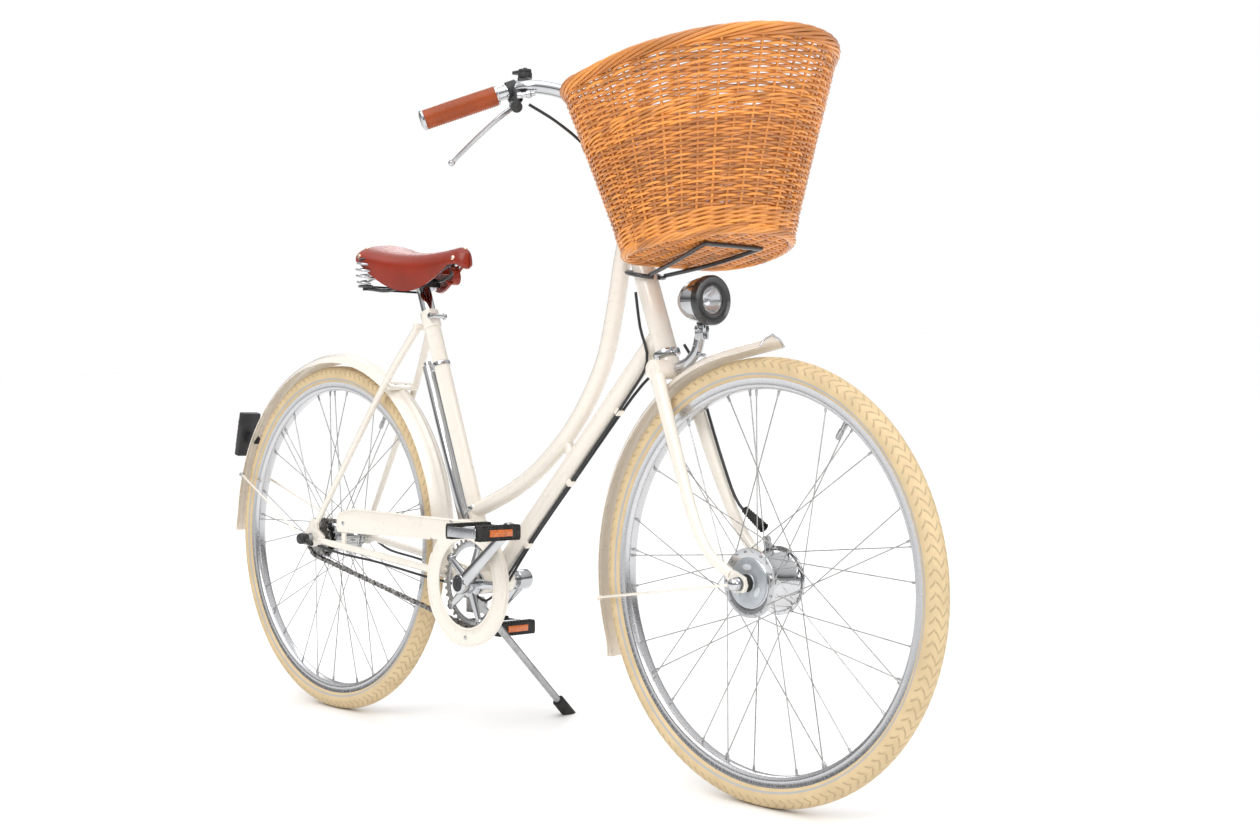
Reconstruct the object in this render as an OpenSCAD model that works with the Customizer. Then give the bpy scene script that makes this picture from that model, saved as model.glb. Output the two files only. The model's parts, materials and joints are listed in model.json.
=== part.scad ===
// Bicycle on its side stand: loop frame, 26 inch wheels, hub brakes, wicker basket.
// +X is forward, +Y is the rider's left, +Z is up. Millimetres.

/* [Stance] */
// Lean of the whole bicycle onto its side stand, degrees
lean_angle = 4; // [2:0.5:6]
// Distance between the two wheel axles
wheelbase = 1120; // [1095:5:1150]
// Rear axle to crank axle, measured along X
chainstay_reach = 480; // [470:1:490]
// Height of the axles above the crank axle
bottom_bracket_drop = 50; // [44:1:56]

/* [Wheels] */
// Outer radius of the tyres
tyre_radius = 332; // [326:1:338]
// Radius of the round tyre section
tyre_section = 18; // [16:0.5:19]
// Thickness of the tyre wall
tyre_wall = 3; // [2:0.5:4]
// Depth of the tyre below which the rim sits
rim_drop = 30.5; // [28:0.5:33]
// Radial depth of the rim
rim_depth = 17.5; // [14:0.5:21]
// Width of the rims
rim_width = 25; // [22:1:27]
// Number of spokes in each wheel
spoke_count = 36; // [28:4:36]
// Spoke radius
spoke_radius = 0.9; // [0.8:0.05:1]
// Radius of the wheel axles
axle_radius = 4.75; // [4.5:0.05:5.2]

/* [Frame] */
// Steering axis angle above the horizontal, degrees
head_angle = 68.5; // [67:0.5:70]
// Offset of the front axle from the steering axis
fork_rake = 70; // [60:1:76]
// Height of the lower end of the head tube
head_low = 675; // [670:1:682]
// Height gained by the head tube
head_rise = 225; // [205:5:235]
// Outer radius of the head tube
head_radius = 18; // [17:0.5:20]
// Radius of the steerer tube
steerer_radius = 12.7; // [12:0.1:13]
// Seat tube angle above the horizontal, degrees
seat_angle = 68.2; // [66:0.2:70]
// Seat tube length above the crank axle
seat_tube_length = 515; // [490:5:530]
// Outer radius of the seat tube
seat_tube_radius = 14.3; // [14:0.1:15.9]
// Radius of the seat post
post_radius = 12.7; // [12:0.1:13]
// Seat post top above the crank axle, along the seat tube
post_reach = 575; // [565:5:620]
// Outer radius of the down tube
down_tube_radius = 15.9; // [14.3:0.1:17]
// Outer radius of the curved upper tube
top_tube_radius = 14.3; // [12.7:0.1:15.9]
// Radius of the chain stays
chain_stay_radius = 8; // [7:0.5:8.5]
// Radius of the seat stays
seat_stay_radius = 7; // [6:0.5:8]
// Outer radius of the bottom bracket shell
shell_radius = 20; // [19.5:0.5:22]

/* [Drive] */
// Teeth on the chainring
ring_teeth = 38; // [36:1:40]
// Teeth on the rear sprocket
sprocket_teeth = 18; // [16:1:20]
// Crank length, axle to pedal centre
crank_length = 165; // [160:1:170]
// Angle of the right crank above forward, degrees
crank_angle = 37.5; // [20:0.5:60]
// Outer radius of the round part of the chain guard
guard_radius = 108; // [102:1:112]
// Radius of the hole in the chain guard
guard_hole = 78; // [74:1:80]
// Length of each pedal body
pedal_length = 92; // [84:1:98]

/* [Mudguards] */
// Gap from the tyre to the mudguard crown
mudguard_gap = 22; // [20:0.5:23]
// Radius of the curved mudguard section
mudguard_section = 27; // [26:0.5:29]
// Thickness of the mudguard sheet
mudguard_sheet = 1.2; // [1:0.1:1.6]

/* [Handlebar] */
// Half the width of the bar over the grips
bar_half_width = 290; // [280:2:300]
// Bar tube radius
bar_radius = 11.1; // [11:0.1:12.7]
// Grip radius
grip_radius = 15.5; // [14:0.5:17]
// Grip length
grip_length = 125; // [110:1:130]
// Height of the bar clamp
bar_height = 1040; // [1036:1:1050]

/* [Basket] */
// Front to back size of the basket rim
basket_depth = 380; // [330:5:390]
// Half the width of the basket rim
basket_half_width = 200; // [180:2:220]
// Height of the basket side
basket_height = 271; // [240:1:290]
// Basket floor front to back
basket_floor_depth = 203; // [190:1:230]
// Half the width of the basket floor
basket_floor_half = 143; // [125:1:160]
// Tilt of the basket, front up, degrees
basket_tilt = 11.8; // [10:0.2:13]
// Thickness of the woven wall
basket_wall = 9; // [7:0.5:12]

/* [Stand] */
// Foot of the side stand out to the left of the bicycle's middle plane
foot_out = 232; // [215:1:245]
// Stand leg radius
stand_radius = 6.5; // [6:0.5:8]

/* [Hidden] */
// Small clearance between turning parts
running_fit = 0.05;
// middle of the standing bicycle's outline on the ground, from the rear tyre's foot
row_origin = [543, 72];
axle_z = tyre_radius;
rim_outer = tyre_radius - rim_drop;
rim_inner = rim_outer - rim_depth;
mudguard_radius = tyre_radius + mudguard_gap;
front_axle = [wheelbase, 0, axle_z];
bb = [chainstay_reach, 0, tyre_radius - bottom_bracket_drop];
lift = tyre_section * (1 - cos(lean_angle));
head_bore = steerer_radius + 2.3;
head_top = head_low + head_rise;
down_joint = head_low + 29;
post_bore = post_radius + running_fit;
shell_half = 34;
shell_bore = shell_radius - 3;
crank_axle_radius = 8.5;
chain_pitch = 12.7;
chain_line = 45;
ring_pitch_radius = chain_pitch / (2 * sin(180 / ring_teeth));
sprocket_pitch_radius = chain_pitch / (2 * sin(180 / sprocket_teeth));
hole_circle = 46;
flange_out = 31;
flange_half = 2;
rear_hole_circle = 34;
rear_flange_out = 30;
dropout_out = 62;
fork_end_out = 52;
crown_z = head_low - 28;
crown_radius = 15.5;
crown_half = 40;
guard_out = 60;
crank_out = 64;
steer_up = [-cos(head_angle), 0, sin(head_angle)];
seat_up = [-cos(seat_angle), 0, sin(seat_angle)];
foot_z = foot_out * tan(lean_angle) - lift / cos(lean_angle);
stand_pivot = [bb[0] - 40, 2, bb[2] - 44];
stay_bridge = [mudguard_radius + 3.6, 0, axle_z - 40];
stand_foot = [bb[0] - 62, foot_out, foot_z];
lamp_at = [sx(752) + 128, 0, 752];
basket_base = [884, 0, 799];
// fractions of the way from the seat tube joint to the head tube joint, [along X, up Z]
loop_shape = [[1, 1], [0.952, 0.867], [0.905, 0.69], [0.835, 0.515], [0.677, 0.331],
              [0.486, 0.193], [0.276, 0.089], [0, 0]];

// ---- helpers -------------------------------------------------------------------

// X of the steering axis at height z
function sx(z) = wheelbase - fork_rake / sin(head_angle) - (z - tyre_radius) / tan(head_angle);
function on_steer(z) = [sx(z), 0, z];
// point on the seat tube axis a distance l above the crank axle
function on_seat(l) = bb + l * seat_up;
function unit(v) = v / norm(v);
function flip(p) = [p[0], -p[1], p[2]];

// smooth curve through the given points, s steps between each pair
function smooth(p, s) = [
    for (i = [0 : len(p) - 2]) for (k = [0 : s - 1])
        let (t = k / s, a = p[max(i - 1, 0)], b = p[i], c = p[i + 1],
             d = p[min(i + 2, len(p) - 1)])
        0.5 * (2 * b + (c - a) * t + (2 * a - 5 * b + 4 * c - d) * t * t
               + (3 * b - a - 3 * c + d) * t * t * t),
    p[len(p) - 1]];

// stand the bicycle on the ground, leaning onto its stand, about the row's origin
module stand_up() {
    translate([-row_origin[0], -row_origin[1], lift])
        rotate([-lean_angle, 0, 0])
            children();
}

// round bar from p to q
module bar(p, q, r) {
    v = q - p;
    translate(p)
        rotate([0, acos(v[2] / norm(v)), atan2(v[1], v[0])])
            cylinder(h = norm(v), r = r, $fn = 48);
}

// tube or block turned so that its Z runs from p towards q
module along(p, q) {
    v = q - p;
    translate(p)
        rotate([0, acos(v[2] / norm(v)), atan2(v[1], v[0])])
            children();
}

// cylinder across the bicycle, centred on y
module across(x, z, r, y0, y1) {
    translate([x, y1, z])
        rotate([90, 0, 0])
            cylinder(h = y1 - y0, r = r, $fn = 48);
}

// swept bar of n sides; ra and rb are the half widths at the start and end
module sweep(path, r0, r1, n, ref, squash = 1) {
    m = len(path);
    rings = [for (i = [0 : m - 1])
        let (t = unit(path[min(i + 1, m - 1)] - path[max(i - 1, 0)]),
             u = unit(cross(ref, t)), v = cross(t, u), r = r0 + (r1 - r0) * i / (m - 1))
        for (j = [0 : n - 1])
            path[i] + r * cos(360 * j / n) * u + r * squash * sin(360 * j / n) * v];
    sides = [for (i = [0 : m - 2]) for (j = [0 : n - 1])
        let (a = i * n + j, b = i * n + (j + 1) % n)
        each [[a, a + n, b + n], [a, b + n, b]]];
    caps = [for (j = [1 : n - 2]) each [[0, j, j + 1],
        [(m - 1) * n, (m - 1) * n + j + 1, (m - 1) * n + j]]];
    polyhedron(points = rings, faces = concat(sides, caps), convexity = 6);
}

// closed skin between an outer and an inner grid of rows x cols points
module skin(outer, inner, rows, cols) {
    k = rows * cols;
    over = [for (i = [0 : rows - 2]) for (j = [0 : cols - 2])
        let (a = i * cols + j, b = a + 1, c = a + cols, d = c + 1)
        each [[a, c, d], [a, d, b]]];
    under = [for (f = over) [f[0] + k, f[2] + k, f[1] + k]];
    left = [for (i = [0 : rows - 2]) let (a = i * cols, c = a + cols)
        each [[a, a + k, c + k], [a, c + k, c]]];
    right = [for (i = [0 : rows - 2]) let (a = i * cols + cols - 1, c = a + cols)
        each [[a, c + k, a + k], [a, c, c + k]]];
    first = [for (j = [0 : cols - 2]) each [[j, j + 1 + k, j + k], [j, j + 1, j + 1 + k]]];
    last = [for (j = [0 : cols - 2]) let (a = (rows - 1) * cols + j)
        each [[a, a + k, a + 1 + k], [a, a + 1 + k, a + 1]]];
    polyhedron(points = concat(outer, inner),
               faces = concat(over, under, left, right, first, last), convexity = 6);
}

// ring shape about the Y axis at centre c, from a profile of [radius, across]
module wheel_turn(c) {
    translate(c)
        rotate([90, 0, 0])
            rotate_extrude($fn = 96)
                children();
}

// ---- frame ---------------------------------------------------------------------

module steer_hole(r, z0, z1) {
    bar(on_steer(z0), on_steer(z1), r);
}

module head_tube() {
    color("ivory") stand_up() difference() {
        bar(on_steer(head_low), on_steer(head_top), head_radius);
        steer_hole(head_bore, head_low - 5, head_top + 5);
    }
}

module headset_cups() {
    color("silver") stand_up() {
        for (end = [[head_low, -1], [head_top, 1]])
            difference() {
                bar(on_steer(end[0]), on_steer(end[0] + end[1] * 8), head_radius + 3.5);
                bar(on_steer(end[0] - end[1]), on_steer(end[0] + end[1] * 9), head_bore - 1);
            }
    }
}

module top_tube() {
    a = on_steer(head_top - 14);
    b = on_seat(130);
    path = smooth([for (f = loop_shape)
        [b[0] + (a[0] - b[0]) * f[0], 0, b[2] + (a[2] - b[2]) * f[1]]], 4);
    color("ivory") stand_up() difference() {
        sweep(path, top_tube_radius, top_tube_radius, 16, [0, 1, 0]);
        steer_hole(head_bore + 1, head_top - 80, head_top + 30);
        bar(on_seat(90), on_seat(180), post_bore + 0.5);
    }
}

// straight tube with its brace up to the curved tube and three brazed cable guides
module down_tube() {
    a = on_steer(down_joint);
    low = unit([a[2] - bb[2], 0, bb[0] - a[0]]);
    mid = bb + (a - bb) * 0.5;
    color("ivory") stand_up() difference() {
        union() {
            bar(a, bb, down_tube_radius);
            bar(mid + [-2, 0, 8], mid + [-14, 0, 44], 8);
            for (f = [0.2, 0.46, 0.74])
                translate(bb + (a - bb) * f + low * (down_tube_radius + 2.5))
                    rotate([0, -44, 0])
                        cube([12, 12, 9], center = true);
        }
        steer_hole(head_bore + 1, head_low - 20, head_low + 90);
        across(bb[0], bb[2], shell_bore + 1, -40, 40);
    }
}

module seat_tube() {
    color("ivory") stand_up() difference() {
        union() {
            bar(bb, on_seat(seat_tube_length), seat_tube_radius);
            bar(on_seat(seat_tube_length - 34), on_seat(seat_tube_length - 2),
                seat_tube_radius + 2.2);
        }
        bar(on_seat(60), on_seat(seat_tube_length + 5), post_bore);
        across(bb[0], bb[2], shell_bore + 1, -40, 40);
    }
}

module bottom_bracket() {
    color("ivory") stand_up() difference() {
        across(bb[0], bb[2], shell_radius, -shell_half, shell_half);
        across(bb[0], bb[2], shell_bore, -shell_half - 2, shell_half + 2);
    }
}

module bearing_cups() {
    color("silver") stand_up()
        for (s = [-1, 1])
            difference() {
                union() {
                    across(bb[0], bb[2], shell_bore + 0.3, min(s * 20, s * 34), max(s * 20, s * 34));
                    across(bb[0], bb[2], shell_radius - 1, min(s * 34, s * 37), max(s * 34, s * 37));
                }
                across(bb[0], bb[2], crank_axle_radius + running_fit, -45, 45);
            }
}

function stay_path(s) = smooth([[bb[0] - 12, s * 26, bb[2] + 1], [bb[0] - 80, s * 33, bb[2] + 7],
    [bb[0] - 140, s * 37, bb[2] + 15], [bb[0] * 0.42, s * 49, bb[2] + 30],
    [26, s * dropout_out, axle_z - 3]], 4);

module dropout(s) {
    difference() {
        translate([0, s * dropout_out + 3, axle_z])
            rotate([90, 0, 0])
                linear_extrude(6)
                    polygon([[-22, -14], [10, -16], [42, -8], [42, 6], [22, 18], [20, 36],
                             [4, 38], [-14, 16], [-24, 6]]);
        across(0, axle_z, axle_radius + 0.2, -dropout_out - 10, dropout_out + 10);
        across(-14, axle_z - 7, 2.5, -dropout_out - 10, dropout_out + 10);
    }
}

module chain_stays() {
    color("ivory") stand_up() {
        difference() {
            union() {
                for (s = [-1, 1])
                    sweep(stay_path(s), chain_stay_radius, 6.5, 12, [0, 0, 1]);
                across(stay_bridge[0], stay_bridge[2], 6, -36, 36);
            }
            across(bb[0], bb[2], shell_bore + 1, -50, 50);
            for (s = [-1, 1])
                across(bb[0], bb[2], shell_radius, min(s * shell_half, s * 60), max(s * shell_half, s * 60));
        }
        for (s = [-1, 1])
            dropout(s);
    }
}

module seat_stays() {
    top = on_seat(seat_tube_length - 22) + [-22, 0, -8];
    low = [14, 0, axle_z + 26];
    mid = top + (low - top) * 0.27;
    bridge_angle = atan2(mid[2] - axle_z, mid[0]);
    bridge_dir = [cos(bridge_angle), 0, sin(bridge_angle)];
    color("ivory") stand_up() difference() {
        union() {
            for (s = [-1, 1])
                sweep(smooth([top + [0, s * 14, 0], mid + [0, s * 35, 0],
                    low + (mid - low) * 0.5 + [0, s * 49, 0], low + [0, s * dropout_out, 0]], 4),
                    seat_stay_radius, 5.5, 12, [1, 0, 0.4]);
            translate([0, 0, axle_z] + bridge_dir * (mudguard_radius + 1.8))
                rotate([0, -bridge_angle, 0])
                    cube([4, 66, 26], center = true);
            across(top[0], top[2], 6, -21, 21);
        }
        for (s = [-1, 1])
            translate([0, s * 12, axle_z] + bridge_dir * (mudguard_radius + 1.8))
                rotate([0, 90 - bridge_angle, 0])
                    cylinder(h = 20, r = 2.6, center = true, $fn = 32);
        bar(on_seat(seat_tube_length - 90), on_seat(seat_tube_length + 20), post_bore + 0.5);
    }
}

module pump() {
    back = [-sin(seat_angle), 0, -cos(seat_angle)];
    p = on_seat(122) + 38 * back;
    color("silver") stand_up() {
        bar(p, p + 300 * seat_up, 10.5);
        bar(p + 300 * seat_up, p + 308 * seat_up, 7);
        bar(p - 10 * seat_up, p, 7);
        translate(on_seat(410))
            along([0, 0, 0], back)
                translate([0, 0, seat_tube_radius - 0.5])
                    cylinder(h = 17, r = 4, $fn = 32);
        along(on_seat(135), on_seat(135) + back)
            translate([0, 0, seat_tube_radius - 0.5])
                cylinder(h = 17, r = 4, $fn = 32);
    }
}

// curved sheet section, drawn as [radius, across]
module mudguard_profile() {
    mid = mudguard_radius - mudguard_section;
    translate([mid, 0])
        difference() {
            circle(r = mudguard_section, $fn = 64);
            circle(r = mudguard_section - mudguard_sheet, $fn = 64);
            translate([-60 + 11, -40])
                square([60, 80]);
        }
}

// mudguard about centre c from angle a0 through span, angles above forward
module mudguard(c, a0, span) {
    translate(c)
        rotate([90, 0, 0])
            rotate([0, 0, a0])
                rotate_extrude(angle = span, $fn = 128)
                    mudguard_profile();
}

module rear_mudguard() {
    color("ivory") stand_up()
        mudguard([0, 0, axle_z], -8, 189);
}

// one thin stay on each side from p to q, mirrored
module stay_pair(p, q, r) {
    for (s = [-1, 1])
        bar([p[0], s * p[1], p[2]], [q[0], s * q[1], q[2]], r);
}

// point on the mudguard edge at angle a about centre c
function guard_edge(c, a, r, y) = c + [r * cos(a), y, r * sin(a)];

module rear_mudguard_stays() {
    q = guard_edge([0, 0, axle_z], 161, mudguard_radius - 14, 24.6);
    color("ivory") stand_up()
        stay_pair([-14, dropout_out + 4.4, axle_z - 7], q, 2.2);
}

module rear_lamp() {
    a = 149;
    c = guard_edge([0, 0, axle_z], a, mudguard_radius, 0);
    color("black") stand_up() {
        translate(c + [-40, 0, 12])
            rotate([0, 13, 0])
                cube([24, 44, 92], center = true);
        translate(c + [-30, -8, -8])
            cube([34, 16, 22]);
    }
}

module guard_shape(grow) {
    difference() {
        union() {
            translate([bb[0], bb[2]])
                circle(r = guard_radius + grow, $fn = 96);
            polygon([[bb[0], bb[2] + guard_radius - 0.5 + grow], [140, axle_z + 62 + grow],
                     [88 - grow, axle_z + 52 + grow], [84 - grow, axle_z + 18 - grow],
                     [bb[0] - 70, axle_z + 22 - grow], [bb[0], bb[2] + 40]]);
        }
        translate([bb[0], bb[2]])
            circle(r = guard_hole - grow, $fn = 96);
    }
}

// stamped guard with its bracket to the seat tube and its strap down to the chain stay
module chain_guard() {
    lug = on_seat(guard_radius + 5);
    color("ivory") stand_up() {
        translate([0, -guard_out + 1.6, 0])
            rotate([90, 0, 0])
                linear_extrude(1.6)
                    guard_shape(0);
        translate([0, -guard_out + 9, 0])
            rotate([90, 0, 0])
                linear_extrude(8)
                    difference() {
                        guard_shape(0);
                        guard_shape(-1.6);
                        translate([bb[0], bb[2]])
                            circle(r = guard_hole + 4, $fn = 96);
                        translate([0, bb[2] - 20])
                            square([bb[0] - 88, axle_z - bb[2] + 45]);
                    }
        across(lug[0], lug[2], 3.5, 4 - guard_out, 1 - seat_tube_radius);
        translate([98, 0.5 - guard_out, axle_z - 13])
            cube([12, 3.6, 60]);
    }
}

function under_tube(f, drop) =
    let (a = on_steer(down_joint), low = unit([a[2] - bb[2], 0, bb[0] - a[0]]))
    bb + (a - bb) * f + low * (down_tube_radius + drop);

module frame_cables() {
    color("black") stand_up() {
        for (s = [-1, 1])
            sweep(smooth([on_steer(head_low + 94) + [-6, s * 26, 0],
                on_steer(head_low + 40) + [-18, s * 25, 0],
                under_tube(0.93, 5) + [-2, s * 15, 0], under_tube(0.8, 4.4) + [0, s * 5, 0],
                under_tube(0.5, 4.4) + [0, s * 2.8, 0], under_tube(0.2, 4.4) + [0, s * 2.8, 0],
                bb + [8, s * 8, -26], bb + [-20, s * 22, -25], bb + [-60, s * 32, -9],
                [bb[0] - 150, s * 36, bb[2]], [bb[0] * 0.42, s * 48, axle_z - 33],
                [96, s * 57, axle_z - 24], [34, s * 69, axle_z - 12]], 4),
                2.4, 2.4, 8, [0.3, 1, 0.1]);
    }
}

module rear_axle() {
    color("silver") stand_up()
        across(0, axle_z, axle_radius, -dropout_out - 20, dropout_out + 18);
}

module hub_nut(y0, y1) {
    difference() {
        union() {
            translate([0, y1, 0])
                rotate([90, 0, 0])
                    cylinder(h = y1 - y0, r = 8.6, $fn = 6);
            across(0, 0, 10.5, y0 < 0 ? y1 - 2 : y0, y0 < 0 ? y1 : y0 + 2);
        }
        across(0, 0, axle_radius - 0.05, -200, 200);
    }
}

module rear_axle_nuts() {
    color("silver") stand_up()
        translate([0, 0, axle_z]) {
            hub_nut(dropout_out + 3, dropout_out + 13);
            hub_nut(-dropout_out - 13, -dropout_out - 3);
        }
}

// points of an arc of radius r about p from angle a to angle b
function arc(p, r, a, b, n) = [for (i = [0 : n]) let (t = a + (b - a) * i / n) p + r * [cos(t), sin(t)]];

// outline of the chain loop grown by g about its pitch line
module chain_loop(g) {
    p = [bb[0], bb[2]];
    q = [0, axle_z];
    tilt = asin((ring_pitch_radius - sprocket_pitch_radius) / norm(p - q));
    dir = atan2(q[1] - p[1], q[0] - p[0]);
    polygon(concat(arc(p, ring_pitch_radius + g, dir + 90 - tilt - 360, dir - 90 + tilt, 40),
                   arc(q, sprocket_pitch_radius + g, dir - 90 + tilt, dir + 90 - tilt, 20)));
}

module chain_pins(side) {
    p = [bb[0], 0, bb[2]];
    q = [0, 0, axle_z];
    d = norm(p - q);
    tilt = asin((ring_pitch_radius - sprocket_pitch_radius) / d);
    dir = atan2(q[2] - p[2], q[0] - p[0]);
    a = dir + side * (90 - tilt);
    n = [cos(a), 0, sin(a)];
    s = p + ring_pitch_radius * n;
    e = q + sprocket_pitch_radius * n;
    count = floor((norm(e - s) - 62) / (2 * chain_pitch));
    for (i = [0 : count]) {
        c = s + (e - s) * (35 + i * 2 * chain_pitch) / norm(e - s);
        across(c[0], c[2], 2.2, -chain_line - 3.6, -chain_line + 3.6);
    }
}

module chain() {
    color("gray") stand_up() {
        for (y = [-chain_line - 2.8, -chain_line + 3.9])
            translate([0, y, 0])
                rotate([90, 0, 0])
                    linear_extrude(1.1)
                        difference() {
                            chain_loop(4);
                            chain_loop(-4);
                        }
        chain_pins(-1);
        chain_pins(1);
    }
}

module stand_bracket() {
    p = stand_pivot;
    color("silver") stand_up() {
        difference() {
            union() {
                translate([p[0] - 28, -28, bb[2] + 2])
                    cube([40, 56, 8]);
                translate([p[0] - 18, -18, p[2] + 12])
                    cube([24, 14, bb[2] + 6 - p[2] - 12]);
                translate([p[0] - 12, -18, p[2] - 12])
                    cube([34, 14, 28]);
            }
            along(p - 60 * stand_axis, p)
                cylinder(h = 120, r = 5 + running_fit, $fn = 48);
        }
    }
}

// ---- saddle --------------------------------------------------------------------

saddle_at = on_seat(post_reach - 4);

module seat_post() {
    color("silver") stand_up()
        bar(on_seat(post_reach - 215), on_seat(post_reach), post_radius);
}

function rail(s) = smooth([saddle_at + [-84, s * 62, -8], saddle_at + [-58, s * 34, -12],
    saddle_at + [-10, s * 22, 2], saddle_at + [40, s * 20, 6], saddle_at + [88, s * 14, 24],
    saddle_at + [112, s * 5, 36]], 4);

module saddle_rails() {
    color("dimgray") stand_up() {
        for (s = [-1, 1])
            sweep(rail(s), 3.6, 3.6, 8, [0, 0, 1]);
        translate(saddle_at + [-84, 0, -8])
            cube([9, 140, 9], center = true);
        translate(saddle_at + [4, 0, 1])
            cube([24, 58, 16], center = true);
        translate(saddle_at + [110, 0, 34])
            cube([14, 22, 12], center = true);
    }
}

module saddle_springs() {
    turns = 4;
    color("silver") stand_up()
        for (s = [-1, 1])
            sweep([for (i = [0 : turns * 14])
                let (a = i * 360 / 14, r = 15 - 1.5 * sin(i * 180 / (turns * 14)))
                saddle_at + [-84 + r * cos(a), s * (66 + r * sin(a)), -1 + 46 * i / (turns * 14)]],
                2.4, 2.4, 8, [0.02, 0.01, 1]);
}

// saddle half width, drop of the skirt and height along its length f (0 back, 1 nose)
function saddle_half(f) = 18 + 84 * pow(1 - f, 1.7) * (1 - 0.32 * pow(1 - f, 6));
function saddle_skirt(f) = 26 + 26 * sin(180 * min(1, f * 1.25 + 0.05));
function saddle_rise(f) = 66 + 12 * pow(1 - f, 3) - 12 * sin(180 * f) - 4 * f;

function saddle_grid(inset) = [for (i = [0 : 18]) for (j = [-8 : 8])
    let (f = i / 18, w = saddle_half(f) - inset, a = j * 90 / 8,
         down = abs(a) < 60 ? 0 : (abs(a) - 60) / 30,
         y = w * sin(min(abs(a), 62) * 90 / 62) * (a < 0 ? -1 : 1),
         z = saddle_rise(f) - inset - (1 - cos(min(abs(a), 62))) * 26 - down * saddle_skirt(f))
    saddle_at + [-104 + inset + (244 - 2 * inset) * f, y, z]];

module saddle_top() {
    color("sienna") stand_up()
        skin(saddle_grid(0), saddle_grid(5), 19, 17);
}

// ---- fork and front end ----------------------------------------------------------

module fork_crown() {
    c = on_steer(crown_z);
    color("ivory") stand_up() union() {
        bar(on_steer(crown_z), on_steer(head_top + 24), steerer_radius);
        across(c[0], c[2], crown_radius, -crown_half, crown_half);
        bar(on_steer(crown_z + 4), on_steer(crown_z + 16), head_radius - 1.5);
        bar(c, front_axle + (c - front_axle) * (mudguard_radius - 1) / norm(c - front_axle), 5);
    }
}

function blade_path(s) = smooth([on_steer(crown_z) + [0, s * 33, 0], on_steer(570) + [0, s * 36, 0],
    on_steer(490) + [2, s * 40, 0], on_steer(420) + [8, s * 45, 0],
    on_steer(372) + [24, s * 49, 0], front_axle + [-18, s * fork_end_out, 12]], 4);

module fork_blades() {
    color("ivory") stand_up() difference() {
        union() {
            for (s = [-1, 1]) {
                sweep(blade_path(s), 13.4, 8, 12, [0, 1, 0], 0.74);
                translate(front_axle + [0, s * fork_end_out + 3, 0])
                    rotate([90, 0, 0])
                        linear_extrude(6)
                            polygon([[-26, 6], [-26, 20], [-10, 18], [10, 10], [14, -2],
                                     [10, -12], [-10, -14], [-14, -2]]);
            }
        }
        across(wheelbase, axle_z, axle_radius + 0.2, -70, 70);
    }
}

module stem() {
    color("silver") stand_up() difference() {
        union() {
            bar(on_steer(head_top + 22), on_steer(bar_height), 11);
            bar(on_steer(bar_height - 12), [sx(bar_height) + 50, 0, bar_height], 11);
            across(sx(bar_height) + 50, bar_height, bar_radius + 5, -22, 22);
        }
        across(sx(bar_height) + 50, bar_height, bar_radius - 0.1, -40, 40);
    }
}

grip_end = [sx(bar_height) - 107, -bar_half_width, bar_height - 9];
grip_dir = unit([66, 90, 41]);
grip_start = grip_end + grip_length * grip_dir;

function bar_side() = [[sx(bar_height) + 50, 0, bar_height], [sx(bar_height) + 50, -28, bar_height],
    [sx(bar_height) + 51, -68, bar_height + 8], [sx(bar_height) + 46, -116, bar_height + 34],
    [sx(bar_height) + 10, -160, bar_height + 46],
    grip_start + 12 * grip_dir, grip_end + 10 * grip_dir];

module handlebar() {
    half = smooth(bar_side(), 5);
    n = len(half);
    whole = concat([for (i = [0 : n - 1]) half[n - 1 - i]], [for (i = [1 : n - 1]) flip(half[i])]);
    color("silver") stand_up()
        sweep(whole, bar_radius, bar_radius, 12, [0.1, 0, 1]);
}

module grips() {
    color("chocolate") stand_up()
        for (s = [-1, 1])
            mirror([0, s > 0 ? 1 : 0, 0]) {
                bar(grip_end + 3 * grip_dir, grip_start, grip_radius);
                bar(grip_end, grip_end + 4 * grip_dir, grip_radius - 1.5);
            }
}

bracket_at = grip_start + 24 * grip_dir;
lever_pivot = bracket_at + [14, -4, -26];
lever_axis = unit([0.83, -0.474, -0.295]);
lever_tip = [-71, -69, -89];

module lever_brackets() {
    color("black") stand_up()
        for (s = [0, 1])
            mirror([0, s, 0]) {
                bar(bracket_at - 7 * grip_dir, bracket_at + 9 * grip_dir, 15);
                bar(bracket_at + [6, -2, -1], bracket_at + [31, -9, -13], 5.5);
                bar(bracket_at + [28, -9, -9], lever_pivot + 11 * lever_axis, 5.2);
                bar(lever_pivot + 5.4 * lever_axis, lever_pivot + 15 * lever_axis, 9);
                bar(lever_pivot - 7 * lever_axis, lever_pivot + 8 * lever_axis, 3);
            }
}

module lever() {
    difference() {
        union() {
            bar(lever_pivot - 4.5 * lever_axis, lever_pivot + 4.5 * lever_axis, 9);
            sweep(smooth([lever_pivot + 0.03 * lever_tip, lever_pivot + 0.3 * lever_tip + [6, 2, 8],
                lever_pivot + 0.65 * lever_tip + [2, 2, 6], lever_pivot + lever_tip], 4),
                4.4, 3.6, 8, [1, 0, 0]);
            translate(lever_pivot + lever_tip)
                sphere(r = 5.5, $fn = 24);
        }
        bar(lever_pivot - 20 * lever_axis, lever_pivot + 20 * lever_axis, 3 + running_fit);
    }
}

module right_brake_lever() {
    color("silver") stand_up()
        lever();
}

module left_brake_lever() {
    color("silver") stand_up()
        mirror([0, 1, 0])
            lever();
}

shifter_at = bracket_at + 22 * grip_dir;

module shifter_body() {
    color("black") stand_up() {
        bar(shifter_at - 7 * grip_dir, shifter_at + 7 * grip_dir, 15);
        translate(shifter_at + [0, 0, 12])
            cylinder(h = 8, r = 11, $fn = 48);
        translate(shifter_at + [0, 0, 19])
            cylinder(h = 9, r = 3, $fn = 32);
    }
}

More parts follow.
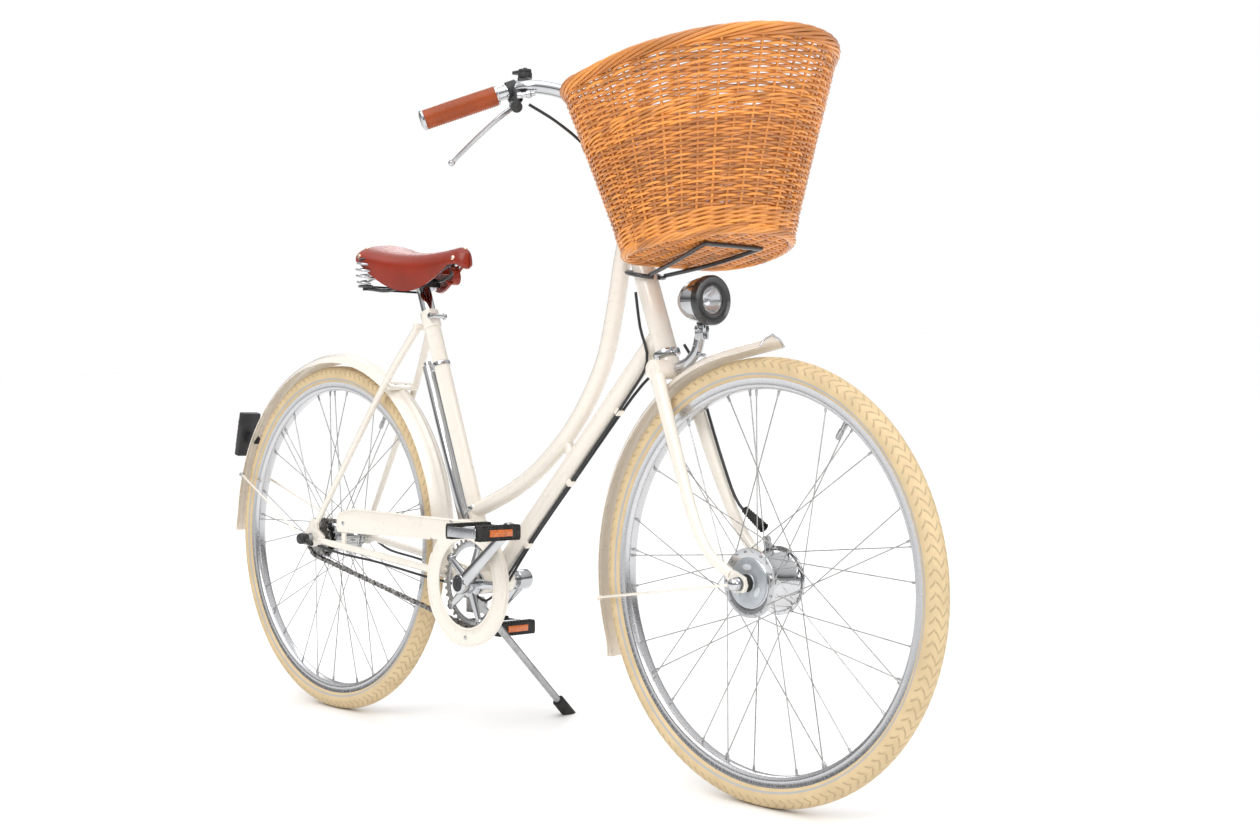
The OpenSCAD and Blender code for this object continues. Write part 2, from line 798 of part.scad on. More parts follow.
module shifter_lever() {
    color("black") stand_up() difference() {
        union() {
            translate(shifter_at + [0, 0, 20.5])
                cylinder(h = 5, r = 10, $fn = 48);
            translate(shifter_at + [-26, -5, 20.5])
                cube([26, 10, 5]);
        }
        translate(shifter_at + [0, 0, 10])
            cylinder(h = 30, r = 3 + running_fit, $fn = 32);
    }
}

module front_mudguard() {
    color("ivory") stand_up()
        mudguard(front_axle, 88, 116);
}

module front_mudguard_stays() {
    q = guard_edge(front_axle, 188.5, mudguard_radius - 14, 24.6);
    color("ivory") stand_up()
        stay_pair([wheelbase - 12, fork_end_out + 4.8, axle_z - 2], q, 2.2);
}

lamp_hinge = lamp_at + [-20, 0, -43];

module headlamp_shell() {
    color("silver") stand_up() difference() {
        union() {
            translate(lamp_at)
                rotate([0, 90, 0])
                    rotate_extrude($fn = 64)
                        polygon([[0, -62], [12, -60], [22, -52], [30, -40], [35, -24], [37, -8],
                                 [38, 0], [0, 0]]);
            translate(lamp_hinge + [-6, -4, -5])
                cube([12, 8, 18]);
        }
        translate(lamp_at)
            rotate([0, 90, 0])
                translate([0, 0, -20])
                    cylinder(h = 30, r = 31, $fn = 64);
        across(lamp_hinge[0], lamp_hinge[2], 2.5 + running_fit, -10, 10);
    }
}

module headlamp_lens() {
    color("white") stand_up()
        translate(lamp_at)
            rotate([0, 90, 0])
                union() {
                    translate([0, 0, -4])
                        cylinder(h = 5, r = 31.3, $fn = 64);
                    cylinder(h = 4, r = 24, $fn = 64);
                }
}

module headlamp_bracket() {
    c = on_steer(crown_z);
    h = lamp_hinge;
    color("silver") stand_up() {
        sweep(smooth([c + [crown_radius - 1, 0, 2], c + [crown_radius + 16, 0, 8],
            h + [-12, 0, -36], h + [-4, 0, -12]], 4), 9, 9, 8, [0, 1, 0], 0.9);
        for (y = [-8.2, 5])
            translate(h + [-7, y, -16])
                cube([14, 3.2, 21]);
        across(h[0], h[2], 2.5, -8.2, 8.2);
    }
}

// D shaped outline: depth d, half width w, rear corner r, k points
function outline(d, w, r, front, z) = concat(
    [for (i = [0 : 20]) let (a = -90 + 9 * i) [d - front + front * cos(a), w * sin(a), z]],
    [for (i = [0 : 6]) let (a = 90 + 15 * i) [r + r * cos(a), w - r + r * sin(a), z]],
    [for (i = [0 : 6]) let (a = 180 + 15 * i) [r + r * cos(a), -w + r + r * sin(a), z]]);

// basket's outline at the rim and at the floor, drawn in by t, at height z
function rim_outline(t, z) =
    let (d = basket_depth - 2 * t)
    [for (p = outline(d, basket_half_width - t, 90 - t, d * 0.6, z)) p + [t, 0, 0]];
function floor_outline(t, z) =
    let (d = basket_floor_depth - 2 * t)
    [for (p = outline(d, basket_floor_half - t, 70 - t, d * 0.62, z)) p + [38 + t, 0, 0]];

module basket_body() {
    t = basket_wall;
    rim = basket_height;
    rows = [
        floor_outline(0, 0),
        rim_outline(0, rim),
        rim_outline(t, rim),
        floor_outline(t, t)];
    n = len(rows[0]);
    pts = [for (r = rows) for (p = r) p];
    sides = [for (i = [0 : 2]) for (j = [0 : n - 1])
        let (a = i * n + j, b = i * n + (j + 1) % n)
        each [[a, a + n, b + n], [a, b + n, b]]];
    caps = [for (j = [1 : n - 2]) each [[0, j, j + 1], [3 * n, 3 * n + j + 1, 3 * n + j]]];
    polyhedron(points = pts, faces = concat(sides, caps), convexity = 8);
}

module basket() {
    color("peru") stand_up()
        translate(basket_base)
            rotate([0, -basket_tilt, 0])
                basket_body();
}

function floor_z(x) = basket_base[2] + (x - basket_base[0]) * tan(basket_tilt) - 2.9;

module basket_support() {
    c = on_steer(790);
    loop = [for (i = [0 : 20]) let (a = i * 17) c + [-3 + 31 * cos(a), 29 * sin(a), 8 - 6 * cos(a)]];
    front = 1053;
    color("black") stand_up() {
        sweep(smooth([c + [24, -16, 6], [(c[0] + front) / 2 + 10, -40, floor_z((c[0] + front) / 2 + 10) - 3],
            [front - 8, -58, floor_z(front - 8)], [front, -48, floor_z(front)],
            [front, 48, floor_z(front)], [front - 8, 58, floor_z(front - 8)],
            [(c[0] + front) / 2 + 10, 40, floor_z((c[0] + front) / 2 + 10) - 3], c + [24, 16, 6]], 4),
            3.6, 3.6, 8, [0.05, 0.02, 1]);
        sweep(loop, 3.6, 3.6, 8, [0.05, 0.02, 1]);
    }
}

// ---- front hub and wheel -----------------------------------------------------------

module front_axle_bar() {
    across(wheelbase, axle_z, axle_radius, -fork_end_out - 18, fork_end_out + 18);
}

module front_axle() {
    color("silver") stand_up()
        front_axle_bar();
}

module front_axle_nuts() {
    color("silver") stand_up()
        translate(front_axle) {
            hub_nut(fork_end_out + 3, fork_end_out + 13);
            hub_nut(-fork_end_out - 13, -fork_end_out - 3);
        }
}

module brake_plate() {
    color("silver") stand_up() difference() {
        union() {
            across(wheelbase, axle_z, 42, 35, 38);
            across(wheelbase, axle_z, 9.5, 30, fork_end_out - 3);
            across(wheelbase - 26, axle_z + 20, 6, 37, 46);
            translate([wheelbase - 26, 46, axle_z + 20])
                rotate([90, 0, 0])
                    linear_extrude(4)
                        polygon([[-8, -6], [8, -4], [4, 20], [-6, 44], [-16, 42], [-12, 16]]);
            translate([wheelbase + 8, 46, axle_z - 40])
                rotate([90, 0, 0])
                    linear_extrude(9)
                        polygon([[-8, 10], [10, 12], [8, -8], [-4, -8]]);
        }
        across(wheelbase, axle_z, axle_radius - 0.05, -70, 70);
    }
}

// hub shell with two drilled flanges; c centre, r flange radius
module hub_shell(c, r, out, barrel, bore, drum) {
    translate(c)
        difference() {
            union() {
                across(0, 0, barrel, -out, out);
                for (s = [-1, 1])
                    across(0, 0, r, s * out - flange_half, s * out + flange_half);
            }
            across(0, 0, bore, -80, 80);
            across(0, 0, drum, out - 24, out + 10);
        }
}

module front_hub() {
    color("silver") stand_up()
        hub_shell(front_axle, hole_circle + 5, flange_out, 45, axle_radius + running_fit, 43);
}

// spokes of one wheel: c centre, h hole circle, o flange distance
module spokes(c, h, o) {
    side = spoke_count / 2;
    cross_turn = 3 * 720 / spoke_count - 4;
    for (s = [-1, 1])
        for (k = [0 : side - 1]) {
            lean_way = k % 2 == 0 ? 1 : -1;
            a = k * 360 / side + (s > 0 ? 180 / side : 0);
            y = s * o + s * lean_way * (flange_half + 0.6);
            rim_a = a + lean_way * cross_turn;
            bar(c + [h * cos(a), y, h * sin(a)],
                c + [(rim_inner + 1.5) * cos(rim_a), s * 2, (rim_inner + 1.5) * sin(rim_a)],
                spoke_radius);
        }
}

module front_spokes() {
    color("silver") stand_up()
        spokes(front_axle, hole_circle, flange_out);
}

module rim_profile() {
    difference() {
        polygon([[rim_inner, -5], [rim_inner + 4, -rim_width / 2], [rim_outer, -rim_width / 2],
                 [rim_outer, rim_width / 2], [rim_inner + 4, rim_width / 2], [rim_inner, 5]]);
        polygon([[rim_inner + 2, -4], [rim_inner + 5, -rim_width / 2 + 2],
                 [rim_outer - 8, -rim_width / 2 + 2], [rim_outer - 8, rim_width / 2 - 2],
                 [rim_inner + 5, rim_width / 2 - 2], [rim_inner + 2, 4]]);
        translate([rim_outer - 6, -rim_width / 2 + 2])
            square([10, rim_width - 4]);
    }
}

module tyre_profile() {
    difference() {
        translate([tyre_radius - tyre_section, 0])
            circle(r = tyre_section, $fn = 64);
        translate([tyre_radius - tyre_section, 0])
            circle(r = tyre_section - tyre_wall, $fn = 64);
        translate([rim_outer - 60 - 1, -30])
            square([60, 60]);
    }
}

module front_rim() {
    color("silver") stand_up()
        wheel_turn(front_axle)
            rim_profile();
}

module front_tyre() {
    color("wheat") stand_up()
        wheel_turn(front_axle)
            tyre_profile();
}

// ---- rear wheel and drive ------------------------------------------------------------

module rear_hub() {
    c = [0, 0, axle_z];
    color("silver") stand_up() {
        translate(c)
            difference() {
                union() {
                    across(0, 0, 29, -rear_flange_out, rear_flange_out);
                    across(0, 0, 22, -38, 44);
                    for (s = [-1, 1])
                        across(0, 0, rear_hole_circle + 4, s * rear_flange_out - flange_half,
                               s * rear_flange_out + flange_half);
                }
                across(0, 0, axle_radius + running_fit, -80, 80);
            }
    }
}

module rear_spokes() {
    color("silver") stand_up()
        spokes([0, 0, axle_z], rear_hole_circle, rear_flange_out);
}

module rear_rim() {
    color("silver") stand_up()
        wheel_turn([0, 0, axle_z])
            rim_profile();
}

module rear_tyre() {
    color("wheat") stand_up()
        wheel_turn([0, 0, axle_z])
            tyre_profile();
}

// toothed disc outline
module teeth(count, pitch_r) {
    step = 360 / count;
    polygon([for (i = [0 : count - 1]) for (k = [[0, 3.2], [0.22, 3.2], [0.42, -3.6], [0.8, -3.6]])
        let (a = (i + k[0]) * step, r = pitch_r + k[1]) [r * cos(a), r * sin(a)]]);
}

module rear_sprocket() {
    color("gray") stand_up()
        translate([0, -chain_line + 1, axle_z])
            rotate([90, 0, 0])
                difference() {
                    union() {
                        linear_extrude(2)
                            teeth(sprocket_teeth, sprocket_pitch_radius);
                        translate([0, 0, -5.5])
                            cylinder(h = 11, r = 20, $fn = 48);
                    }
                    translate([0, 0, -20])
                        cylinder(h = 50, r = axle_radius + running_fit, $fn = 48);
                }
}

module chainring() {
    color("silver") stand_up()
        translate([bb[0], -chain_line + 1, bb[2]])
            rotate([90, 0, 0])
                linear_extrude(2)
                    difference() {
                        teeth(ring_teeth, ring_pitch_radius);
                        circle(r = ring_pitch_radius - 14, $fn = 64);
                    }
}

crank_dir = [cos(crank_angle), 0, sin(crank_angle)];

module crank_arm(s) {
    d = s < 0 ? crank_dir : -crank_dir;
    y0 = s * crank_out;
    end = bb + crank_length * d;
    difference() {
        union() {
            across(bb[0], bb[2], 17, min(y0 - s * 14, y0 + s * 10), max(y0 - s * 14, y0 + s * 10));
            translate([bb[0], y0, bb[2]])
                rotate([0, -atan2(d[2], d[0]), 0])
                    translate([0, min(0, s * 11), -10])
                        cube([crank_length, 11, 20]);
            across(end[0], end[2], 13, min(y0, y0 + s * 12), max(y0, y0 + s * 12));
        }
        across(bb[0], bb[2], crank_axle_radius - 0.1, -100, 100);
        across(end[0], end[2], 7 + running_fit, -100, 100);
    }
}

module cranks() {
    color("silver") stand_up() {
        crank_arm(1);
        crank_arm(-1);
        translate([bb[0], -chain_line - 0.5, bb[2]])
            rotate([90, 0, 0])
                linear_extrude(5)
                    difference() {
                        union() {
                            circle(r = 24, $fn = 48);
                            for (k = [0 : 4])
                                rotate([0, 0, crank_angle + 36 + 72 * k])
                                    translate([0, -6])
                                        square([ring_pitch_radius - 8, 12]);
                        }
                        circle(r = 16.9, $fn = 48);
                    }
    }
}

module crank_axle() {
    color("silver") stand_up()
        across(bb[0], bb[2], crank_axle_radius, -crank_out - 8, crank_out + 8);
}

// pedal hung on the crank end: s is the side of the bicycle
module pedal(s) {
    d = s < 0 ? crank_dir : -crank_dir;
    e = bb + crank_length * d;
    y0 = crank_out + 16;
    y1 = y0 + pedal_length;
    translate([e[0], 0, e[2]])
        mirror([0, s < 0 ? 1 : 0, 0]) {
            across(0, 0, 7, crank_out - 2, y0 + 4);
            across(0, 0, 9.5, y0 + 2, y1 - 2);
            for (x = [-38, 38])
                translate([x - 9, y0 + 3, -13])
                    cube([18, pedal_length - 6, 26]);
            for (y = [y0, y1 - 5])
                translate([-34, y, -9])
                    cube([68, 5, 18]);
        }
}

module right_pedal() {
    color("black") stand_up()
        pedal(-1);
}

module left_pedal() {
    color("black") stand_up()
        pedal(1);
}

// ---- side stand ----------------------------------------------------------------------

// hinge line of the stand, tilted so that the leg folds up behind the crank
stand_axis = unit([-0.475, 0.9235, 0.04]);

module stand_leg() {
    p = stand_pivot;
    d = unit(stand_foot - p);
    color("silver") stand_up() {
        bar(p + 3 * stand_axis, stand_foot - 14 * d, stand_radius);
        bar(p - 26 * stand_axis, p, 5);
        bar(p - 0.5 * stand_axis, p + 11 * stand_axis, 11);
    }
}

module stand_foot() {
    d = unit(stand_foot - stand_pivot);
    color("black") stand_up() difference() {
        bar(stand_foot - 40 * d, stand_foot + 10 * d, 11);
        bar(stand_foot - 60 * d, stand_foot - 14 * d, stand_radius - 0.1);
        rotate([lean_angle, 0, 0])
            translate([stand_foot[0] - 60, foot_out / cos(lean_angle) - 60, -60 - lift])
                cube([120, 120, 60]);
    }
}

module steering_cables() {
    color("black") stand_up()
        for (s = [-1, 1])
            sweep(smooth([[lever_pivot[0] + 14, s * -lever_pivot[1] - s * 16, lever_pivot[2] + 2],
                [sx(bar_height) + 30, s * 130, bar_height - 8],
                [sx(bar_height) + 26, s * 66, bar_height - 40],
                on_steer(head_top + 30) + [20, s * 30, 0],
                on_steer(head_top - 20) + [4, s * 33, 0],
                on_steer(head_low + 142) + [-2, s * 30, 0]], 4), 2.4, 2.4, 8, [0.2, 1, 0.1]);
    color("black") stand_up()
        sweep(smooth([on_steer(crown_z + 40) + [28, 16, 0], on_steer(crown_z) + [26, 34, 0],
            on_steer(600) + [20, 36, 0], on_steer(500) + [20, 39, 0], on_steer(440) + [26, 43, 0],
            front_axle + [-42, 43.5, 76]], 4), 2.4, 2.4, 8, [0.2, 1, 0.1]);
}

head_tube();
top_tube();
down_tube();
seat_tube();
bottom_bracket();
bearing_cups();
chain_stays();
seat_stays();
headset_cups();
pump();
rear_mudguard();
rear_mudguard_stays();
rear_lamp();
chain_guard();
frame_cables();
rear_axle();
rear_axle_nuts();
chain();
stand_bracket();
seat_post();
saddle_rails();
saddle_springs();
saddle_top();
fork_crown();
fork_blades();
stem();
handlebar();
grips();
lever_brackets();
shifter_body();
front_mudguard();
front_mudguard_stays();
headlamp_shell();
headlamp_lens();
headlamp_bracket();
basket();
basket_support();
front_axle();
front_axle_nuts();
brake_plate();
steering_cables();
right_brake_lever();
left_brake_lever();
shifter_lever();
front_tyre();
front_rim();
front_spokes();
front_hub();
rear_tyre();
rear_rim();
rear_spokes();
rear_hub();
rear_sprocket();
chainring();
cranks();
crank_axle();
right_pedal();
left_pedal();
stand_leg();
stand_foot();
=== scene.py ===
"""Looks of a step-through bicycle leaning on its side stand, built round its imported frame.

Every shape is a function of two parameters on a grid, or a profile carried along a path. Shapes are worked
out in the upright bicycle's own millimetres (x forward, y to the rider's left, z up from the ground, with
the rear tyre's foot at zero), and stood(points) leans them onto the stand and turns them into metres.
"""
import json
import math

import bmesh
import bpy
import numpy as np
from mathutils import Matrix, Vector


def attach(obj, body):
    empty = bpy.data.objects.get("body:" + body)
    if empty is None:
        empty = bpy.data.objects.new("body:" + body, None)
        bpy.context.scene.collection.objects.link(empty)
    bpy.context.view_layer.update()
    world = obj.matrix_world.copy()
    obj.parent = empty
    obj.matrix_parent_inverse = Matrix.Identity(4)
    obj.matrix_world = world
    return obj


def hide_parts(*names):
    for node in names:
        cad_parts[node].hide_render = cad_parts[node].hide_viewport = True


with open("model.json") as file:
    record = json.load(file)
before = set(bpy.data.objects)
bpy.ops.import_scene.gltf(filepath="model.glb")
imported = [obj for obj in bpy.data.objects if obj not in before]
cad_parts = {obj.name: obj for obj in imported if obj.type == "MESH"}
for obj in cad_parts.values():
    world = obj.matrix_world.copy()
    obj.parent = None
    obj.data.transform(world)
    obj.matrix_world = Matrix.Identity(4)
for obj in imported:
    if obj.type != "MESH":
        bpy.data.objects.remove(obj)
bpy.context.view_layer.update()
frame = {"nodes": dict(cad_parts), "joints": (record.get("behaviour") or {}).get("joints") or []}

bl_info = {
    "name": "Town bicycle looks",
    "version": (1, 0, 0),
    "blender": (4, 5, 0),
    "location": "3D View > Sidebar > Bicycle",
    "description": "Builds the detailed pieces and finishes of a town bicycle round its packed frame",
    "category": "Object",
}

JOINTS = {j["name"]: j for j in frame["joints"]}
NODES = frame["nodes"]
TAU = 2 * math.pi


# ---- the bicycle's own axes ----------------------------------------------------

REAR = np.array(JOINTS["rear_wheel_spin"]["pos_m"])
LEFT = np.array(JOINTS["rear_wheel_spin"]["axis"])
AHEAD = np.array([1.0, 0.0, 0.0])
ABOVE = np.cross(AHEAD, LEFT)
TYRE_RADIUS = 332.0
AXES = np.stack([AHEAD, LEFT, ABOVE])


def stood(points):
    """Bicycle millimetres to metres in the frame: the rear axle plus each part along the leaning axes."""
    return REAR + (np.asarray(points, float) - [0, 0, TYRE_RADIUS]) @ AXES / 1000


def upright(metres):
    """The inverse of stood()."""
    return (np.asarray(metres, float) - REAR) @ AXES.T * 1000 + [0, 0, TYRE_RADIUS]


def way(vector):
    """A direction of the frame in the bicycle's own axes."""
    return np.asarray(vector, float) @ AXES.T


REAR_AXLE = np.array([0, 0, TYRE_RADIUS])
FRONT_AXLE = upright(JOINTS["front_wheel_spin"]["pos_m"])
CRANK_AXLE = upright(JOINTS["crank_spin"]["pos_m"])
STEER_UP = way(JOINTS["steering_turn"]["axis"])
STEER_MID = upright(JOINTS["steering_turn"]["pos_m"])
SEAT_UP = way(JOINTS["saddle_height"]["axis"])
LAMP_HINGE = upright(JOINTS["headlamp_tilt"]["pos_m"])
SIDE = np.array([0, 1.0, 0])


def on_steer(z):
    """Point of the steering axis at height z."""
    return STEER_MID + STEER_UP * (z - STEER_MID[2]) / STEER_UP[2]


def on_seat(length):
    """Point of the seat tube's axis at a distance above the crank axle."""
    return CRANK_AXLE + SEAT_UP * length


# ---- shapes --------------------------------------------------------------------

def unit(v):
    """Vectors brought to length one."""
    v = np.asarray(v, float)
    return v / np.linalg.norm(v, axis=-1, keepdims=True)


def smooth(points, steps):
    """Catmull-Rom curve through the points, with a number of steps between each pair."""
    p = np.asarray(points, float)
    q = np.vstack([p[:1], p, p[-1:]])
    t = (np.arange(steps) / steps)[None, :, None]
    a, b, c, d = q[:-3, None], q[1:-2, None], q[2:-1, None], q[3:, None]
    run = 0.5 * (2 * b + (c - a) * t + (2 * a - 5 * b + 4 * c - d) * t**2 + (3 * b - a - 3 * c + d) * t**3)
    return np.vstack([run.reshape(-1, 3), p[-1:]])


def mirrored(points):
    """The same points on the other side of the bicycle."""
    return np.asarray(points, float) * [1, -1, 1]


class Shape:
    """Gathers grids of points into one mesh, in the bicycle's own millimetres."""

    def __init__(self):
        self.points, self.faces, self.uvs, self.tones, self.count = [], [], [], [], 0

    def grid(self, p, round_rows=False, round_cols=False, u=None, v=None, tone=0.5):
        """Joins rows x columns of points by four-sided faces. u and v run along the rows and columns."""
        rows, cols = p.shape[:2]
        last_row, last_col = rows - (not round_rows), cols - (not round_cols)
        u = np.linspace(0, 1, last_row + 1) if u is None else np.asarray(u)
        v = np.linspace(0, 1, last_col + 1) if v is None else np.asarray(v)
        i, j = np.meshgrid(np.arange(last_row), np.arange(last_col), indexing="ij")
        corners = [(i, j), (i + 1, j), (i + 1, j + 1), (i, j + 1)]
        quads = np.stack([a % rows * cols + b % cols for a, b in corners], -1).reshape(-1, 4)
        uv = np.stack([np.stack([u[a], v[b]], -1) for a, b in corners], -2).reshape(-1, 2)
        self.points.append(p.reshape(-1, 3))
        self.faces.append(quads + self.count)
        self.uvs.append(uv)
        self.tones.append(np.full(rows * cols, tone))
        self.count += rows * cols
        return self

    def tube(self, path, radius, sides=16, loop=False, flat=1.0, ref=None, tone=0.5, caps=True):
        """A round or oval section carried along a path: centre + r (cos a U + flat sin a V)."""
        p = np.asarray(path, float)
        r = np.broadcast_to(np.asarray(radius, float), (len(p),))
        t = unit(np.roll(p, -1, 0) - np.roll(p, 1, 0)) if loop else unit(np.gradient(p, axis=0))
        if ref is None:
            ref = np.linalg.eigh(np.cov((p - p.mean(0)).T))[1][:, 0]
        u = unit(np.cross(np.broadcast_to(ref, p.shape), t))
        v = np.cross(t, u)
        a = np.arange(sides) * TAU / sides
        ring = np.cos(a)[None, :, None] * u[:, None] + flat * np.sin(a)[None, :, None] * v[:, None]
        body = p[:, None] + r[:, None, None] * ring
        if caps and not loop:
            ends = [np.repeat(body[k : k + 1].mean(1, keepdims=True), sides, 1) for k in (0, -1)]
            body = np.concatenate([ends[0], body, ends[1]])
        step = np.r_[0, np.cumsum(np.linalg.norm(np.diff(p, axis=0), axis=1))] / 1000
        if loop:
            step = np.r_[step, step[-1] + np.linalg.norm(p[0] - p[-1]) / 1000]
        elif caps:
            step = np.r_[step[0], step, step[-1]]
        return self.grid(body, round_rows=loop, round_cols=True, u=step, tone=tone)

    def lathe(self, centre, axis, profile, sides=64, tone=0.5, u=None):
        """A profile of (radius, distance along the axis) turned about the axis."""
        axis = unit(axis)
        e1 = unit(np.cross(axis, [0.31, 0.11, 0.94]))
        e2 = np.cross(axis, e1)
        r, h = np.asarray(profile, float).T
        a = np.arange(sides) * TAU / sides
        ring = np.cos(a)[:, None] * e1 + np.sin(a)[:, None] * e2
        p = np.asarray(centre) + r[:, None, None] * ring[None] + h[:, None, None] * axis
        return self.grid(p, round_cols=True, u=u, tone=tone)

    def block(self, centre, size, turn=None, tone=0.5):
        """A box whose edges the piece's bevel rounds: centre + size times each corner, turned."""
        turn = np.eye(3) if turn is None else np.asarray(turn)
        x = np.array([0, 0, 1, 1, 1, 1, 0, 0]) - 0.5
        y = np.array([0, 1, 1, 0, 0, 1, 1, 0]) - 0.5
        z = np.array([0, 0, 0, 0, 1, 1, 1, 1]) - 0.5
        corners = (np.stack([x, y, z], -1) * np.asarray(size, float)) @ turn + np.asarray(centre, float)
        quads = np.array([[0, 1, 2, 3], [4, 5, 6, 7], [0, 3, 4, 7], [1, 6, 5, 2], [0, 7, 6, 1], [3, 2, 5, 4]])
        self.points.append(corners)
        self.faces.append(quads + self.count)
        self.uvs.append(np.tile([[0, 0], [1, 0], [1, 1], [0, 1]], (6, 1)))
        self.tones.append(np.full(8, tone))
        self.count += 8
        return self

    def plate(self, outline, middle, thick, across=SIDE):
        """A flat sheet: the closed outline of points moved half the thickness each way, and its middle."""
        p = np.asarray(outline, float)
        half = unit(across) * thick / 2
        c = np.repeat(np.asarray(middle, float)[None], len(p), 0)
        return self.grid(np.stack([c - half, p - half, p + half, c + half]), round_cols=True)


def rounded_bar(r_in, half, edge=1.0):
    """Profile of a short round bar of radius r_in and half length, with rounded edges."""
    a = np.linspace(0, math.pi / 2, 4)
    corner = np.stack([r_in - edge + edge * np.sin(a), half - edge + edge * np.cos(a)], -1)
    return np.vstack([[[0, half]], corner, (corner * [1, -1])[::-1], [[0, -half]]])


def make(shape, name, body, material, replaces=(), bevel=0.0, wall=0.0, angle=40, subdivide=0):
    """Puts a shape into the scene as one piece that rides on a body."""
    mesh = bpy.data.meshes.new(name)
    points = stood(np.vstack(shape.points))
    faces = np.vstack(shape.faces)
    mesh.from_pydata(points.tolist(), [], faces.tolist())
    mesh.uv_layers.new(name="UVMap").data.foreach_set("uv", np.vstack(shape.uvs).astype(np.float32).ravel())
    mesh.attributes.new("tone", "FLOAT", "POINT").data.foreach_set(
        "value", np.concatenate(shape.tones).astype(np.float32))
    work = bmesh.new()
    work.from_mesh(mesh)
    bmesh.ops.remove_doubles(work, verts=work.verts, dist=2e-6)
    bmesh.ops.dissolve_degenerate(work, edges=work.edges, dist=1e-7)
    bmesh.ops.recalc_face_normals(work, faces=work.faces)
    work.to_mesh(mesh)
    work.free()
    mesh.materials.append(material)
    piece = bpy.data.objects.new(name, mesh)
    bpy.context.scene.collection.objects.link(piece)
    if wall:
        solid = piece.modifiers.new("wall", "SOLIDIFY")
        solid.thickness = wall / 1000
        solid.offset = -1
    if subdivide:
        soft = piece.modifiers.new("round", "SUBSURF")
        soft.levels = soft.render_levels = subdivide
    soften(piece, bevel, angle)
    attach(piece, body)
    if replaces:
        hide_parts(*replaces)
    return piece


def soften(piece, bevel, angle):
    """Smooth shading, small rounded edges and crisp corners past an angle."""
    mesh = piece.data
    mesh.polygons.foreach_set("use_smooth", np.ones(len(mesh.polygons), bool))
    if bevel:
        edge = piece.modifiers.new("edges", "BEVEL")
        edge.width = bevel / 1000
        edge.segments = 2
        edge.limit_method = "ANGLE"
        edge.angle_limit = math.radians(angle)
    split = piece.modifiers.new("corners", "EDGE_SPLIT")
    split.split_angle = math.radians(angle)


def dress(node, material, bevel=0.0, angle=42):
    """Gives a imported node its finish, smooth shading and rounded edges, and leaves its mesh as it is."""
    piece = NODES[node]
    if "custom_normal" in piece.data.attributes:
        piece.data.attributes.remove(piece.data.attributes["custom_normal"])
    if len(piece.material_slots) == 0:
        piece.data.materials.append(material)
    for s in piece.material_slots:
        s.material = material
    weld = piece.modifiers.new("weld", "WELD")
    weld.merge_threshold = 5e-6
    soften(piece, bevel, angle)


# ---- finishes ------------------------------------------------------------------

